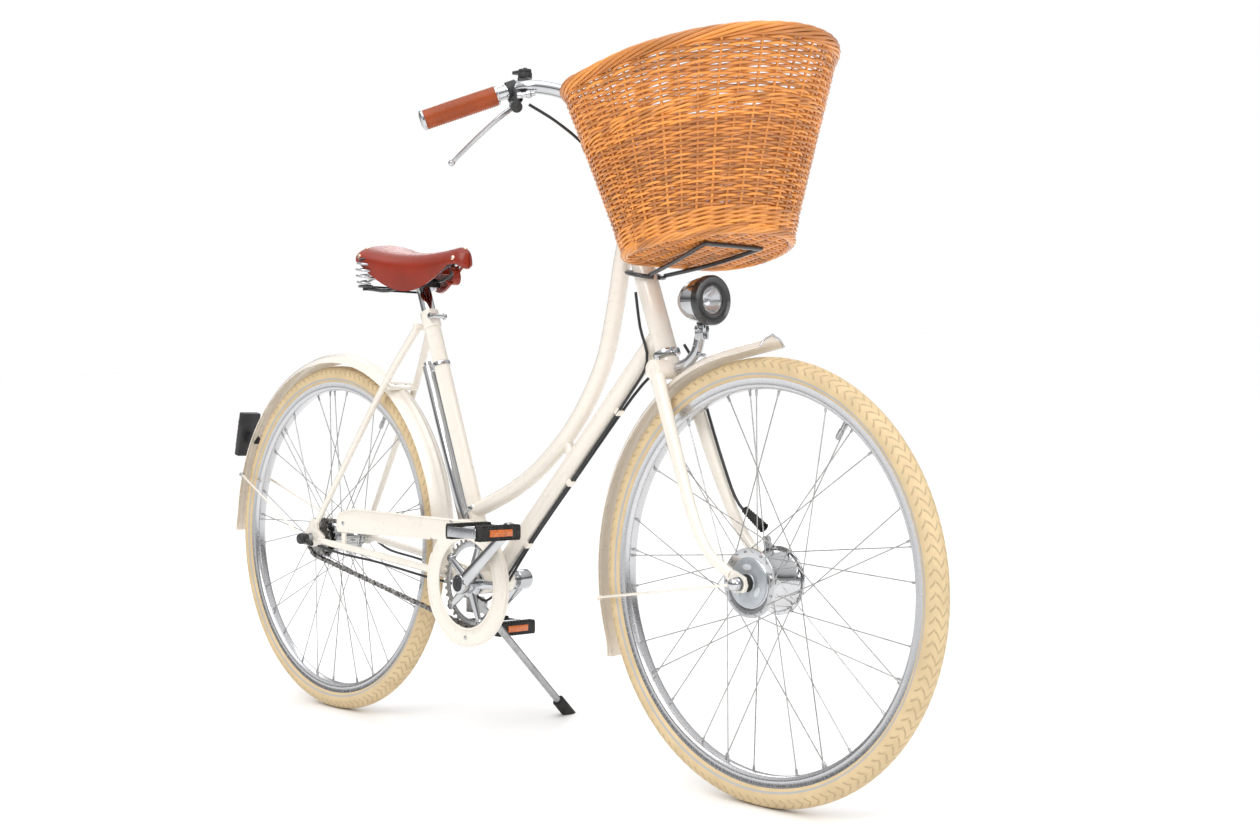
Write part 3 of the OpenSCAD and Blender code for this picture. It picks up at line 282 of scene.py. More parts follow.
class Finish:
    """A material built of nodes round one Principled shader."""

    def __init__(self, name, rough=0.5, metallic=0.0, coat=0.0, coat_rough=0.05, specular=0.5):
        self.material = bpy.data.materials.new(name)
        self.material.use_nodes = True
        self.tree = self.material.node_tree
        self.tree.nodes.clear()
        self.shader = self.tree.nodes.new("ShaderNodeBsdfPrincipled")
        out = self.tree.nodes.new("ShaderNodeOutputMaterial")
        self.tree.links.new(self.shader.outputs["BSDF"], out.inputs["Surface"])
        put = self.shader.inputs
        put["Roughness"].default_value = rough
        put["Metallic"].default_value = metallic
        put["Coat Weight"].default_value = coat
        put["Coat Roughness"].default_value = coat_rough
        put["Specular IOR Level"].default_value = specular
        where = self.tree.nodes.new("ShaderNodeTexCoord")
        self.place = where.outputs["Object"]
        self.uv = where.outputs["UV"]

    def node(self, kind, **values):
        """A new node; values go to its inputs by name or number, links or plain numbers."""
        n = self.tree.nodes.new("ShaderNode" + kind)
        for key, value in values.items():
            name = key.replace("_", " ")
            socket = n.inputs[int(key[1:])] if key[0] == "i" and key[1:].isdigit() else n.inputs[name]
            self.feed(socket, value)
        return n

    def feed(self, socket, value):
        """Links a socket, or sets its number."""
        if isinstance(value, bpy.types.NodeSocket):
            self.tree.links.new(value, socket)
        else:
            socket.default_value = value

    def math(self, operation, a, b=0.0, c=0.0):
        """One sum on two or three values."""
        n = self.tree.nodes.new("ShaderNodeMath")
        n.operation = operation
        for socket, value in zip(n.inputs, (a, b, c)):
            self.feed(socket, value)
        return n.outputs[0]

    def noise(self, scale, detail=3.0, stretch=(1, 1, 1), where=None, rough=0.5):
        """Cloudy noise on the piece's own coordinates, stretched along each axis."""
        at = self.node("Mapping", Vector=where or self.place, Scale=stretch).outputs[0]
        return self.node("TexNoise", Vector=at, Scale=scale, Detail=detail, Roughness=rough).outputs["Fac"]

    def cells(self, scale, where=None, feature="F1"):
        """Distance in a pattern of cells, for pores and grain."""
        n = self.node("TexVoronoi", Vector=where or self.place, Scale=scale)
        n.feature = feature
        return n.outputs["Distance"]

    def ramp(self, value, *stops):
        """Colour that follows a value through stops of (place, colour)."""
        n = self.node("ValToRGB", Fac=value)
        for k, (at, colour) in enumerate(stops):
            e = n.color_ramp.elements[k] if k < 2 else n.color_ramp.elements.new(at)
            e.position = at
            e.color = (*colour, 1)
        return n.outputs["Color"]

    def span(self, value, low, high, to_low, to_high):
        """A value moved from one range to another, held at its ends."""
        n = self.node("MapRange", Value=value, From_Min=low, From_Max=high, To_Min=to_low, To_Max=to_high)
        return n.outputs["Result"]

    def mix(self, share, a, b):
        """Two colours mixed."""
        n = self.tree.nodes.new("ShaderNodeMix")
        n.data_type = "RGBA"
        self.feed(n.inputs["Factor"], share)
        for socket, value in zip((n.inputs[6], n.inputs[7]), (a, b)):
            self.feed(socket, value if isinstance(value, bpy.types.NodeSocket) else (*value, 1))
        return n.outputs[2]

    def colour(self, value):
        """The base colour, linked or plain."""
        self.feed(self.shader.inputs["Base Color"], value)
        return self

    def roughness(self, value):
        """Linked roughness."""
        self.feed(self.shader.inputs["Roughness"], value)
        return self

    def bump(self, height, strength, distance):
        """Relief from a height, with its full distance in metres."""
        n = self.node("Bump", Height=height, Strength=strength, Distance=distance)
        self.feed(self.shader.inputs["Normal"], n.outputs["Normal"])
        return self


def shade(colour, factor):
    """A colour made lighter or darker."""
    return tuple(min(1.0, c * factor) for c in tuple(colour)[:3])


MADE = {}


def finish(name):
    """The named material, made once."""
    if name not in MADE:
        MADE[name] = FINISHES[name]()
        MADE[name].name = name
    return MADE[name]


def looks():
    """The user's sizes and colours."""
    return bpy.context.scene.bicycle_looks


def paint():
    """Gloss enamel: clear coat over a faintly rippled, very slightly uneven colour."""
    f = Finish("paint", rough=0.32, coat=0.9, coat_rough=0.04)
    c = looks().paint_colour
    f.colour(f.ramp(f.noise(9), (0.3, shade(c, 0.97)), (0.7, shade(c, 1.02))))
    f.roughness(f.span(f.noise(60, 4), 0.3, 0.7, 0.24, 0.4))
    f.bump(f.noise(420, 2), 0.05, 0.0004)
    return f.material


def chrome():
    """Bright plating with faint cleaning marks."""
    f = Finish("chrome", metallic=1.0)
    f.colour(f.ramp(f.noise(14), (0.3, (0.50, 0.51, 0.525)), (0.7, (0.62, 0.625, 0.635))))
    f.roughness(f.span(f.noise(90, 5, (1, 1, 0.2)), 0.35, 0.75, 0.05, 0.16))
    f.bump(f.noise(300, 2), 0.02, 0.0003)
    return f.material


def alloy():
    """Polished and lightly brushed aluminium."""
    f = Finish("alloy", metallic=1.0)
    f.colour(f.ramp(f.noise(24, 4), (0.25, (0.40, 0.415, 0.43)), (0.75, (0.54, 0.55, 0.56))))
    f.roughness(f.span(f.noise(700, 4, (1, 0.08, 1)), 0.3, 0.7, 0.2, 0.36))
    f.bump(f.noise(1400, 3, (1, 0.05, 1)), 0.1, 0.0002)
    return f.material


def steel():
    """Dull plated steel for spokes, nuts and the stand."""
    f = Finish("steel", metallic=1.0)
    f.colour(f.ramp(f.noise(50, 4), (0.3, (0.36, 0.365, 0.37)), (0.7, (0.50, 0.50, 0.505))))
    f.roughness(f.span(f.noise(300, 4), 0.3, 0.7, 0.22, 0.42))
    f.bump(f.noise(900, 3), 0.06, 0.0002)
    return f.material


def spoke_steel():
    """Thin drawn steel, greyer than the fittings."""
    f = Finish("spoke_steel", metallic=1.0)
    f.colour(f.ramp(f.noise(50, 4), (0.3, (0.34, 0.34, 0.335)), (0.7, (0.50, 0.50, 0.49))))
    f.roughness(f.span(f.noise(300, 4), 0.3, 0.7, 0.2, 0.36))
    f.bump(f.noise(900, 3), 0.06, 0.0002)
    return f.material


def chain_steel():
    """Oiled steel with dark grease in places."""
    f = Finish("chain_steel", metallic=1.0)
    f.colour(f.ramp(f.noise(160, 4), (0.35, (0.08, 0.075, 0.07)), (0.62, (0.42, 0.41, 0.39))))
    f.roughness(f.span(f.noise(240, 4), 0.3, 0.7, 0.25, 0.5))
    f.bump(f.noise(800, 3), 0.1, 0.0003)
    return f.material


def gloss_black():
    """Black enamel on rails and wire."""
    f = Finish("gloss_black", rough=0.3, coat=0.6, coat_rough=0.12)
    f.colour(f.ramp(f.noise(40), (0.3, (0.012, 0.012, 0.013)), (0.7, (0.026, 0.026, 0.028))))
    f.roughness(f.span(f.noise(200, 4), 0.3, 0.7, 0.25, 0.45))
    f.bump(f.noise(700, 3), 0.06, 0.0003)
    return f.material


def black_plastic():
    """Finely grained moulded plastic."""
    f = Finish("black_plastic", rough=0.45)
    f.colour(f.ramp(f.noise(30), (0.3, (0.014, 0.014, 0.015)), (0.7, (0.03, 0.03, 0.032))))
    f.roughness(f.span(f.noise(120, 4), 0.3, 0.7, 0.38, 0.55))
    f.bump(f.cells(1600), 0.12, 0.0002)
    return f.material


def rubber():
    """Dusty black rubber."""
    f = Finish("rubber", rough=0.75, specular=0.35)
    f.colour(f.ramp(f.noise(60, 5), (0.3, (0.012, 0.012, 0.012)), (0.75, (0.042, 0.041, 0.04))))
    f.roughness(f.span(f.noise(160, 4), 0.3, 0.7, 0.6, 0.85))
    f.bump(f.noise(1100, 4), 0.25, 0.0004)
    return f.material


def tyre():
    """Tan rubber: short curved cuts in four lanes of the tread, coloured darker than the rubber as painted
    shade in the grooves, a grey band on each side wall.

    u counts turns of the wheel and v runs from -1 to 1 round the section. A cut is where the fraction of
    (cuts x u + a curve of v) is near a half, inside the lane's range of v."""
    f = Finish("tyre", rough=0.62, specular=0.4)
    c = looks().tyre_colour
    xyz = f.node("SeparateXYZ", Vector=f.uv)
    side = f.math("ABSOLUTE", xyz.outputs["Y"])
    cuts = None
    for low, high, slope, swing, shift in ((0.01, 0.14, 5.5, 0.10, 0.0), (0.15, 0.29, -5.0, 0.12, 0.45),
                                           (0.31, 0.45, 5.0, 0.12, 0.2)):
        bend = f.math("MULTIPLY", f.math("SINE", f.math("MULTIPLY", side, 22.0)), swing)
        along = f.math("MULTIPLY_ADD", xyz.outputs["X"], float(TREAD_CUTS), shift)
        phase = f.math("ADD", f.math("MULTIPLY_ADD", side, slope, along), bend)
        line = f.math("ABSOLUTE", f.math("SUBTRACT", f.math("FRACT", phase), 0.5))
        thin = f.span(line, 0.08, 0.13, 1.0, 0.0)
        lane = f.math("MULTIPLY", f.span(side, low, low + 0.012, 0.0, 1.0),
                      f.span(side, high, high + 0.012, 1.0, 0.0))
        cut = f.math("MULTIPLY", thin, lane)
        cuts = cut if cuts is None else f.math("MAXIMUM", cuts, cut)
    dust = f.ramp(f.noise(30, 5), (0.3, shade(c, 0.9)), (0.7, shade(c, 1.06)))
    # The cuts take a darker tan over the random dust tone: painted shade in the grooves.
    dust_and_cut_shade = f.mix(cuts, dust, shade(c, 0.74))
    band = f.math("MULTIPLY", f.span(side, 0.60, 0.605, 0.0, 1.0), f.span(side, 0.655, 0.66, 1.0, 0.0))
    f.colour(f.mix(band, dust_and_cut_shade, (0.42, 0.43, 0.44)))
    f.roughness(f.span(f.noise(140, 4), 0.3, 0.7, 0.5, 0.72))
    grain = f.math("MULTIPLY", f.noise(900, 4), 0.25)
    f.bump(f.math("SUBTRACT", grain, cuts), 0.6, 0.0012)
    return f.material


def rim_metal():
    """Polished rim with fine marks that run round the wheel, from stretched noise on its own u and v."""
    f = Finish("rim_metal", metallic=1.0)
    lines = f.noise(60, 4, (0.5, 14, 1), where=f.uv)
    f.colour(f.ramp(lines, (0.3, (0.52, 0.525, 0.54)), (0.7, (0.66, 0.66, 0.67))))
    f.roughness(f.span(lines, 0.3, 0.7, 0.16, 0.3))
    f.bump(lines, 0.06, 0.0002)
    return f.material


def leather(name, colour, gloss, scale):
    """Tanned hide: pores and creases from cells and noise, darker in the grain,
    worn paler on broad patches."""
    f = Finish(name, coat=gloss, coat_rough=0.22, specular=0.3)
    pores = f.cells(scale)
    crease = f.noise(scale * 0.25, 6, rough=0.65)
    patch = f.noise(16, 3)
    base = f.ramp(patch, (0.25, shade(colour, 0.72)), (0.75, shade(colour, 1.25)))
    f.colour(f.mix(f.span(pores, 0.0, 0.5, 0.3, 0.0), base, shade(colour, 0.5)))
    f.roughness(f.span(crease, 0.3, 0.7, 0.3, 0.55))
    f.bump(f.math("ADD", f.math("MULTIPLY", pores, 0.4), crease), 0.14, 0.0006)
    return f.material


def willow():
    """Varnished willow: each rod its own tone, streaks along it, knots and darker bark in places."""
    f = Finish("willow", coat=0.7, coat_rough=0.14)
    c = looks().willow_colour
    tone = f.tree.nodes.new("ShaderNodeAttribute")
    tone.attribute_name = "tone"
    streak = f.noise(70, 5, (0.35, 6, 1), where=f.uv)
    patch = f.noise(28, 4)
    own = f.math("ADD", f.math("MULTIPLY", tone.outputs["Fac"], 0.62), f.math("MULTIPLY", patch, 0.38))
    base = f.ramp(own, (0.16, shade(c, 0.40)), (0.48, shade(c, 0.95)), (0.80, shade(c, 1.65)))
    f.colour(f.mix(f.span(streak, 0.35, 0.75, 0.0, 0.5), base, shade(c, 0.5)))
    f.roughness(f.span(f.noise(220, 4), 0.3, 0.7, 0.34, 0.55))
    f.bump(f.math("ADD", streak, f.noise(900, 3)), 0.25, 0.0006)
    return f.material


def clear_glass(name, colour, rough=0.03, ribs=0.0):
    """Clear or tinted lens."""
    f = Finish(name, rough=rough)
    f.shader.inputs["Transmission Weight"].default_value = 0.9
    f.shader.inputs["IOR"].default_value = 1.49
    f.colour((*colour, 1))
    f.roughness(f.span(f.noise(80, 3), 0.3, 0.7, rough, rough + 0.05))
    f.bump(f.noise(60 + ribs, 2), 0.08 + 0.2 * (ribs > 0), 0.0005)
    return f.material


def reflector(name, colour):
    """Moulded reflector: small prisms from cells under a glossy face, each prism painted lighter in its
    middle and darker towards its edges as painted highlight and painted shade.
    """
    f = Finish(name, coat=1.0, coat_rough=0.05)
    prism = f.cells(420)
    # Painted highlight in each prism's middle and painted shade towards its edges, from the cell distance.
    f.colour(f.ramp(prism, (0.1, shade(colour, 1.5)), (0.7, shade(colour, 0.55))))
    f.roughness(f.span(prism, 0.0, 1.0, 0.12, 0.4))
    f.bump(prism, 0.5, 0.0008)
    return f.material


FINISHES = {
    "paint": paint, "chrome": chrome, "alloy": alloy, "steel": steel, "spoke_steel": spoke_steel,
    "chain_steel": chain_steel,
    "gloss_black": gloss_black, "black_plastic": black_plastic, "rubber": rubber, "tyre": tyre,
    "rim_metal": rim_metal, "willow": willow,
    "saddle_leather": lambda: leather("saddle_leather", looks().saddle_colour, 0.35, 520),
    "grip_leather": lambda: leather("grip_leather", looks().grip_colour, 0.15, 640),
    "lamp_glass": lambda: clear_glass("lamp_glass", (0.97, 0.98, 1.0)),
    "red_lens": lambda: clear_glass("red_lens", (0.55, 0.01, 0.01), 0.06, 300.0),
    "amber": lambda: reflector("amber", (0.85, 0.17, 0.02)),
    "thread": lambda: leather("thread", (0.55, 0.30, 0.14), 0.0, 1500),
}


# ---- sizes that more than one piece uses ---------------------------------------

TYRE_SECTION = 18.0
RIM_OUTER, RIM_INNER, RIM_HALF = 301.5, 284.0, 12.5
TREAD_CUTS = 124
MUDGUARD_RADIUS, MUDGUARD_SECTION, MUDGUARD_SHEET = 354.0, 27.0, 1.2
REAR_LAMP_ANGLE = math.radians(149)
BAR_HEIGHT, BAR_RADIUS, BAR_HALF = 1040.0, 11.1, 290.0
GRIP_RADIUS, GRIP_LENGTH = 15.5, 125.0
CRANK_OUT, CRANK_LENGTH = 64.0, 165.0
CHAIN_LINE, CHAIN_PITCH, RING_TEETH, SPROCKET_TEETH = 45.0, 12.7, 38, 18
GUARD_OUT, GUARD_RADIUS, GUARD_HOLE = 60.0, 108.0, 78.0
RING_PITCH = CHAIN_PITCH / (2 * math.sin(math.pi / RING_TEETH))
SPROCKET_PITCH = CHAIN_PITCH / (2 * math.sin(math.pi / SPROCKET_TEETH))
PEDAL_RIGHT = upright(JOINTS["right_pedal_spin"]["pos_m"])
CRANK_WAY = unit((PEDAL_RIGHT - CRANK_AXLE) * [1, 0, 1])
SADDLE_AT = on_seat(571)
BAR_CLAMP = on_steer(BAR_HEIGHT) + [50, 0, 0]
GRIP_END = on_steer(BAR_HEIGHT) * [1, 0, 1] + [-107, -BAR_HALF, -9]
GRIP_WAY = unit([66, 90, 41])
GRIP_START = GRIP_END + GRIP_LENGTH * GRIP_WAY
BRACKET_AT = GRIP_START + 24 * GRIP_WAY
SHIFTER_AT = BRACKET_AT + 22 * GRIP_WAY
LEVER_PIVOT = upright(JOINTS["right_brake"]["pos_m"])


class BicycleLooks(bpy.types.PropertyGroup):
    """Sizes and colours of the detailed pieces."""

    paint_colour: bpy.props.FloatVectorProperty(
        name="Paint", description="Colour of the frame, mudguards and chain guard",
        subtype="COLOR", default=(0.86, 0.80, 0.71), min=0, max=1)
    tyre_colour: bpy.props.FloatVectorProperty(
        name="Tyres", description="Colour of the tyre rubber",
        subtype="COLOR", default=(0.66, 0.505, 0.295), min=0, max=1)
    willow_colour: bpy.props.FloatVectorProperty(
        name="Willow", description="Colour of the basket's rods",
        subtype="COLOR", default=(0.70, 0.245, 0.038), min=0, max=1)
    saddle_colour: bpy.props.FloatVectorProperty(
        name="Saddle leather", description="Colour of the saddle's hide",
        subtype="COLOR", default=(0.25, 0.019, 0.004), min=0, max=1)
    grip_colour: bpy.props.FloatVectorProperty(
        name="Grip leather", description="Colour of the grips' hide",
        subtype="COLOR", default=(0.35, 0.064, 0.012), min=0, max=1)
    stakes: bpy.props.IntProperty(
        name="Stakes", description="Upright rods round the basket, an even number", default=40, min=20,
        max=60)
    rod_radius: bpy.props.FloatProperty(
        name="Rod radius", description="Radius of the basket's weaving rods",
        default=0.0024, min=0.001, max=0.004, unit="LENGTH")
    spoke_count: bpy.props.IntProperty(
        name="Spokes", description="Spokes in each wheel", default=36, min=28, max=40)
    spring_wire: bpy.props.FloatProperty(
        name="Spring wire", description="Radius of the saddle springs' wire",
        default=0.0024, min=0.001, max=0.004, unit="LENGTH")
    spring_turns: bpy.props.IntProperty(
        name="Spring turns", description="Turns in each saddle spring", default=4, min=3, max=7)


class Step(bpy.types.Operator):
    """What every piece's operator shares."""

    bl_options = {"REGISTER"}

    def build(self, context):
        raise NotImplementedError

    def execute(self, context):
        self.build(context)
        return {"FINISHED"}


class BICYCLE_OT_stage(Step):
    """Pale floor, soft lights and the camera"""

    bl_idname = "bicycle.stage"
    bl_label = "Floor, lights and camera"

    def build(self, context):
        size = 40.0
        a = np.linspace(-size, size, 9)
        x, y = np.meshgrid(a, a, indexing="ij")
        mesh = bpy.data.meshes.new("floor")
        i = (np.arange(8)[:, None] * 9 + np.arange(8)).ravel()
        mesh.from_pydata(np.stack([x, y, 0 * x], -1).reshape(-1, 3).tolist(), [],
                         np.stack([i, i + 9, i + 10, i + 1], -1).tolist())
        floor = bpy.data.objects.new("floor", mesh)
        context.scene.collection.objects.link(floor)
        f = Finish("floor", rough=0.55, specular=0.3)
        f.colour(f.ramp(f.noise(0.8), (0.3, (0.90, 0.90, 0.90)), (0.7, (0.93, 0.93, 0.93))))
        mesh.materials.append(f.material)

        world = bpy.data.worlds.new("studio")
        context.scene.world = world
        world.use_nodes = True
        tree = world.node_tree
        tree.nodes.clear()
        where = tree.nodes.new("ShaderNodeTexCoord")
        parts = tree.nodes.new("ShaderNodeSeparateXYZ")
        height = tree.nodes.new("ShaderNodeValToRGB")
        seen = tree.nodes.new("ShaderNodeLightPath")
        shown = tree.nodes.new("ShaderNodeMix")
        shown.data_type = "RGBA"
        back = tree.nodes.new("ShaderNodeBackground")
        out = tree.nodes.new("ShaderNodeOutputWorld")
        link = tree.links.new
        link(where.outputs["Generated"], parts.inputs[0])
        link(parts.outputs["Z"], height.inputs["Fac"])
        stops = height.color_ramp.elements
        for k, (at, grey) in enumerate(((0.0, 0.34), (0.05, 0.44), (0.14, 0.08), (0.32, 0.60), (0.75, 0.95))):
            e = stops[k] if k < 2 else stops.new(at)
            e.position, e.color = at, (grey, grey, grey * 1.005, 1)
        link(seen.outputs["Is Camera Ray"], shown.inputs["Factor"])
        link(height.outputs["Color"], shown.inputs[6])
        shown.inputs[7].default_value = (1, 1, 1, 1)
        link(shown.outputs[2], back.inputs["Color"])
        back.inputs["Strength"].default_value = 1.0
        link(back.outputs[0], out.inputs["Surface"])

        for name, where, energy, wide in (("key", (1.2, -3.4, 3.2), 52, 2.2),
                                          ("fill", (3.8, 0.4, 1.8), 26, 1.8),
                                          ("rim", (-2.8, 2.6, 2.8), 30, 2.4)):
            lamp = bpy.data.lights.new(name, "AREA")
            lamp.energy, lamp.size, lamp.shape = energy, wide, "DISK"
            light = bpy.data.objects.new(name, lamp)
            light.location = where
            light.rotation_euler = (Vector((0, 0, 0.5)) - Vector(where)).to_track_quat("-Z", "Y").to_euler()
            context.scene.collection.objects.link(light)

        sun = bpy.data.lights.new("sky", "SUN")
        sun.energy, sun.angle = 1.25, math.radians(70)
        high = bpy.data.objects.new("sky", sun)
        high.rotation_euler = (math.radians(14), math.radians(10), 0)
        context.scene.collection.objects.link(high)

        view = bpy.data.cameras.new("camera")
        view.sensor_width, view.lens = 36.0, 49.71
        view.clip_start, view.clip_end = 0.05, 200
        camera = bpy.data.objects.new("camera", view)
        right = np.array([0.68331, 0.72876, -0.04460])
        ahead = np.array([-0.73005, 0.68110, -0.05580])
        turn = np.eye(4)
        turn[:3, 0], turn[:3, 1], turn[:3, 2] = right, np.cross(right, ahead), -ahead
        turn[:3, 3] = [2.3163, -1.9278, 0.7217]
        camera.matrix_world = Matrix(turn.tolist())
        context.scene.collection.objects.link(camera)
        context.scene.camera = camera
        context.scene.view_settings.view_transform = "Standard"


class BICYCLE_OT_metalwork(Step):
    """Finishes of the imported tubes, bolts, wires and brackets"""

    bl_idname = "bicycle.metalwork"
    bl_label = "Tubes and brackets"

    PAINTED = ("head_tube", "top_tube", "down_tube", "seat_tube", "bottom_bracket", "chain_stays",
               "seat_stays", "rear_mudguard_stays", "front_mudguard_stays", "chain_guard", "fork_crown",
               "fork_blades")
    PLATED = ("bearing_cups", "headset_cups", "seat_post", "stem", "headlamp_bracket", "right_brake_lever",
              "left_brake_lever", "pump")
    STEEL = ("rear_axle", "rear_axle_nuts", "front_axle", "front_axle_nuts", "crank_axle", "stand_bracket",
             "stand_leg")
    ALLOY = ("chainring", "brake_plate", "cranks")
    BLACK = ("saddle_rails", "basket_support")
    PLASTIC = ("frame_cables", "steering_cables", "lever_brackets", "shifter_body", "shifter_lever")

    def build(self, context):
        groups = ((self.PAINTED, "paint", 0.5), (self.PLATED, "chrome", 0.4), (self.STEEL, "steel", 0.0),
                  (self.ALLOY, "alloy", 0.7), (self.BLACK, "gloss_black", 0.6),
                  (self.PLASTIC, "black_plastic", 0.5), (("stand_foot",), "rubber", 0.8),
                  (("rear_sprocket",), "chain_steel", 0.0),
                  (("front_spokes", "rear_spokes"), "spoke_steel", 0.0))
        faceted = {"saddle_rails", "basket_support", "frame_cables", "steering_cables"}
        for nodes, name, bevel in groups:
            for node in nodes:
                dress(node, finish(name), 0 if node in faceted else bevel, 52 if node in faceted else 42)


def wheel_centre(front):
    """Centre, body and name of the front or the rear wheel."""
    return (FRONT_AXLE, "front_wheel", "front") if front else (REAR_AXLE, "rear_wheel", "rear")


class BICYCLE_OT_wheels(Step):
    """Tyres, rims, nipples and valves"""

    bl_idname = "bicycle.wheels"
    bl_label = "Wheels"

    def tyre(self, centre, body, name):
        """Round section turned about the axle: (R - s + s cos a, s sin a), with v running from -1 to 1."""
        a = np.linspace(-math.pi, math.pi, 57)
        r = TYRE_RADIUS - TYRE_SECTION + TYRE_SECTION * np.cos(a)
        y = TYRE_SECTION * np.sin(a)
        turn = np.arange(288) * TAU / 288
        p = np.stack([r[None] * np.cos(turn)[:, None], np.broadcast_to(y, (288, 57)),
                      r[None] * np.sin(turn)[:, None]], -1) + centre
        tyre = Shape().grid(p, round_rows=True, v=np.linspace(-1, 1, 57))
        make(tyre, name + "_tyre_rubber", body, finish("tyre"), replaces=[name + "_tyre"])

    def rim(self, centre, body, name):
        """Box section with rolled edges, turned about the axle."""
        h = RIM_HALF
        profile = [(RIM_OUTER, h), (RIM_OUTER + 0.4, h - 0.8), (RIM_OUTER - 1.2, h - 2),
                   (RIM_OUTER - 6, h - 2.4), (RIM_OUTER - 7, h - 6), (RIM_OUTER - 8, 0),
                   (RIM_OUTER - 7, 6 - h), (RIM_OUTER - 6, 2.4 - h), (RIM_OUTER - 1.2, 2 - h),
                   (RIM_OUTER + 0.4, 0.8 - h), (RIM_OUTER, -h), (RIM_OUTER - 1.2, -h),
                   (RIM_OUTER - 1.8, 0.4 - h), (RIM_OUTER - 10, 0.4 - h), (RIM_INNER + 5.6, 0.5 - h),
                   (RIM_INNER + 4.2, 1.2 - h), (RIM_INNER + 1.6, 3.4 - h), (RIM_INNER + 0.3, -6),
                   (RIM_INNER, -3.5), (RIM_INNER, 3.5), (RIM_INNER + 0.3, 6), (RIM_INNER + 1.6, h - 3.4),
                   (RIM_INNER + 4.2, h - 1.2), (RIM_INNER + 5.6, h - 0.5), (RIM_OUTER - 10, h - 0.4),
                   (RIM_OUTER - 1.8, h - 0.4), (RIM_OUTER - 1.2, h), (RIM_OUTER, h)]
        rim = Shape().lathe(centre, SIDE, profile, 216)
        make(rim, name + "_rim_polished", body, finish("rim_metal"), replaces=[name + "_rim"],
             angle=34)

    def nipples(self, centre, body, name, hole, out):
        """A stepped nipple where each spoke meets the rim, turned about the spoke's own line."""
        count = looks().spoke_count
        side = count // 2
        shape = Shape()
        profile = [(0, -9), (1.5, -9), (1.9, -8), (2.0, -1), (2.7, -0.4), (2.7, 2.5), (0, 2.5)]
        for s in (-1, 1):
            for k in range(side):
                lean = 1 if k % 2 == 0 else -1
                a = k * TAU / side + (math.pi / side if s > 0 else 0)
                b = a + lean * math.radians(3 * 720 / count - 4)
                start = centre + [hole * math.cos(a), s * out + s * lean * 2.6, hole * math.sin(a)]
                end = centre + [RIM_INNER * math.cos(b), s * 2, RIM_INNER * math.sin(b)]
                shape.lathe(end, end - start, profile, 10)
        make(shape, name + "_nipples", body, finish("steel"))

    def valve(self, centre, body, name):
        """Valve stem, lock nut and cap pointing at the axle, halfway between two spokes."""
        a = math.radians(57)
        d = np.array([math.cos(a), 0, math.sin(a)])
        shape = Shape()
        profile = [(0, -4), (6.5, -4), (6.5, -1), (3.2, -0.6), (3.0, 14), (4, 14.3), (4.1, 27), (2.8, 30),
                   (0, 30)]
        shape.lathe(centre + d * RIM_INNER, -d, profile, 20)
        make(shape, name + "_valve", body, finish("steel"))

    def build(self, context):
        for front in (True, False):
            centre, body, name = wheel_centre(front)
            self.tyre(centre, body, name)
            self.rim(centre, body, name)
            self.nipples(centre, body, name, 46 if front else 34, 31 if front else 30)
            self.valve(centre, body, name)


